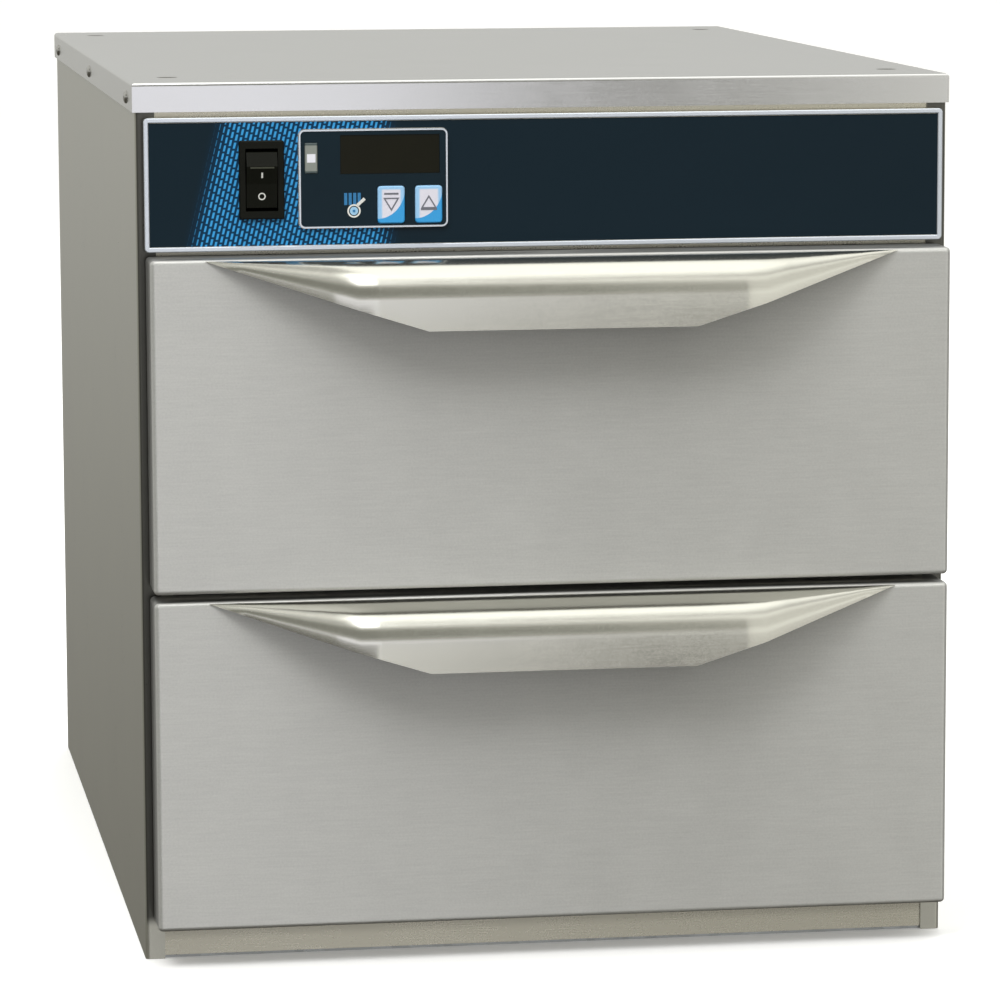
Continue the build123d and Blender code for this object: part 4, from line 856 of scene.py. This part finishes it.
# Painted highlight: a strip of grey ink just under the crest stands in for the light along that edge.
ink("switch_crest_highlight", *BAR, CREST_HIGHLIGHT_PLACE, crest_highlight_ink, "power_rocker", "switch_plastic",
    UPPER_LEAN, (8.6, 0.55))
ink("switch_on_bar", *BAR, ON_PLACE, ink_white, "power_rocker", "switch_plastic",
    UPPER_LEAN, (0.6, 2.0))
ink("switch_off_ring", 32, 0.0019, 0.0006, OFF_PLACE, ink_white, "power_rocker",
    "switch_plastic", LOWER_LEAN)

SIGN_X, SIGN_Z = -0.1005, 0.3884
HEAT_BARS, HEAT_PITCH = 4, 0.0023
BULB_X, BULB_Z = SIGN_X + 0.0006, SIGN_Z - 0.0030
fascia_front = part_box("controller_fascia")[0][1] - INK / 2
sign_front = fascia_front - INK

for index in range(HEAT_BARS):
    bar_x = SIGN_X - 0.0036 + index * HEAT_PITCH
    ink(f"heat_bar_{index + 1}", *BAR, (bar_x, fascia_front, SIGN_Z + 0.0031), ink_blue,
        "cabinet", "controller_plastic", size=(1.1, 4.3))
ink("bulb_ring", 32, 0.0034, 0.0008, (BULB_X, sign_front, BULB_Z), ink_white,
    "cabinet", "controller_plastic")
ink("bulb_fill", 32, 0.0021, 0, (BULB_X, sign_front, BULB_Z), ink_pale,
    "cabinet", "controller_plastic")
ink("bulb_dot", 24, 0.0007, 0, (BULB_X, sign_front - INK, BULB_Z), ink_blue,
    "cabinet", "controller_plastic")
ink("thermometer_stem", *BAR, (SIGN_X + 0.0042, sign_front, SIGN_Z + 0.0015), ink_white,
    "cabinet", "controller_plastic", size=(1.1, 3.6), turn=48)
print("signs drawn")

# %% [markdown]
# ## Screw heads
# The cover and the rear panel are held by domed screws with a cross recess. The solids show them
# as plain hexagons, so a finished head stands for them: a ball is flattened, cut off at its
# foot, and two crossed boxes are taken out of its crown. The head is then copied to each
# place, turned to face outwards, and the copies are joined into one piece per set.

# %% Model one head and copy it to each screw
HEAD_RADIUS, HEAD_HEIGHT = 0.0035, 0.0015
CROSS_LENGTH, CROSS_WIDTH, CROSS_DEPTH = 0.0042, 0.00085, 0.0009
FOOT_HEIGHT = 0.0001  # where the ball is cut off, just over its middle
HEAD_TURN = math.radians(35)
REAR_ROWS = (0.02705, 0.16235, 0.28415, 0.4059)  # heights of the rear panel's screws


def screw_head():
    """A domed head with a cross recess, its foot at the origin and its crown up."""
    bpy.ops.object.select_all(action="DESELECT")
    bpy.ops.mesh.primitive_uv_sphere_add(segments=28, ring_count=14, radius=HEAD_RADIUS)
    head = bpy.context.object
    head.scale = (1.0, 1.0, HEAD_HEIGHT / HEAD_RADIUS)
    bpy.ops.object.transform_apply(location=False, rotation=False, scale=True)
    bpy.ops.object.mode_set(mode="EDIT")
    bpy.ops.mesh.select_all(action="SELECT")
    bpy.ops.mesh.bisect(
        plane_co=(0, 0, FOOT_HEIGHT), plane_no=(0, 0, 1), use_fill=True, clear_inner=True
    )
    bpy.ops.object.mode_set(mode="OBJECT")
    for size in ((CROSS_LENGTH, CROSS_WIDTH), (CROSS_WIDTH, CROSS_LENGTH)):
        bpy.ops.object.select_all(action="DESELECT")
        bpy.ops.mesh.primitive_cube_add(size=1.0, location=(0, 0, HEAD_HEIGHT))
        cutter = bpy.context.object
        cutter.scale = (size[0], size[1], 2 * CROSS_DEPTH)
        bpy.ops.object.transform_apply(location=True, rotation=False, scale=True)
        recess = head.modifiers.new("recess", "BOOLEAN")
        recess.operation, recess.solver, recess.object = "DIFFERENCE", "EXACT", cutter
        bpy.ops.object.select_all(action="DESELECT")
        head.select_set(True)
        bpy.context.view_layer.objects.active = head
        bpy.ops.object.modifier_apply(modifier=recess.name)
        bpy.data.objects.remove(cutter)
    bpy.ops.object.shade_smooth_by_angle(angle=HEAD_TURN)
    return head


def screw_set(node, name, places):
    """Copies of one head at each place, with the way it faces; together they replace the node."""
    master = screw_head()
    copies = []
    for place, facing in places:
        bpy.ops.object.select_all(action="DESELECT")
        master.select_set(True)
        bpy.context.view_layer.objects.active = master
        bpy.ops.object.duplicate()
        copy = bpy.context.object
        copy.rotation_mode = "QUATERNION"
        copy.rotation_quaternion = Vector(facing).to_track_quat("Z", "Y")
        copy.location = place
        bpy.ops.object.transform_apply(location=True, rotation=True, scale=True)
        copies.append(copy)
    bpy.data.objects.remove(master)
    for copy in copies:
        copy.select_set(True)
    bpy.context.view_layer.objects.active = copies[0]
    bpy.ops.object.join()
    screws = bpy.context.object
    screws.name = name
    screws.data.materials.append(bright_screw)
    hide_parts(node)
    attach(screws, "cabinet")
    print(name, "heads", len(places), "faces", len(screws.data.polygons))


cover_low, cover_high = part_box("cover_screws")
cover_y = (cover_low[1] + cover_high[1]) / 2
cover_z = (cover_low[2] + cover_high[2]) / 2
cover_rows = (cover_low[1] + HEAD_RADIUS, cover_y, cover_high[1] - HEAD_RADIUS)
screw_set("cover_screws", "domed_cover_screws", [
    ((side * (cover_high[0] - HEAD_HEIGHT), y, cover_z), (side, 0, 0))
    for side in (-1, 1) for y in cover_rows
])
_, rear_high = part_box("rear_panel_screws")
screw_set("rear_panel_screws", "domed_rear_screws", [
    ((side * (rear_high[0] - HEAD_RADIUS), rear_high[1] - HEAD_HEIGHT, z), (0, 1, 0))
    for side in (-1, 1) for z in REAR_ROWS
])

# %% [markdown]
# ## The dressed size
# The dressed cabinet should be as large as its solids. Its box is measured and its size printed.

# %% Measure the dressed model and print its size
dressed_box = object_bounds()
print("dressed size in mm:", [round((high - low) * 1000, 1) for low, high in zip(*dressed_box)])
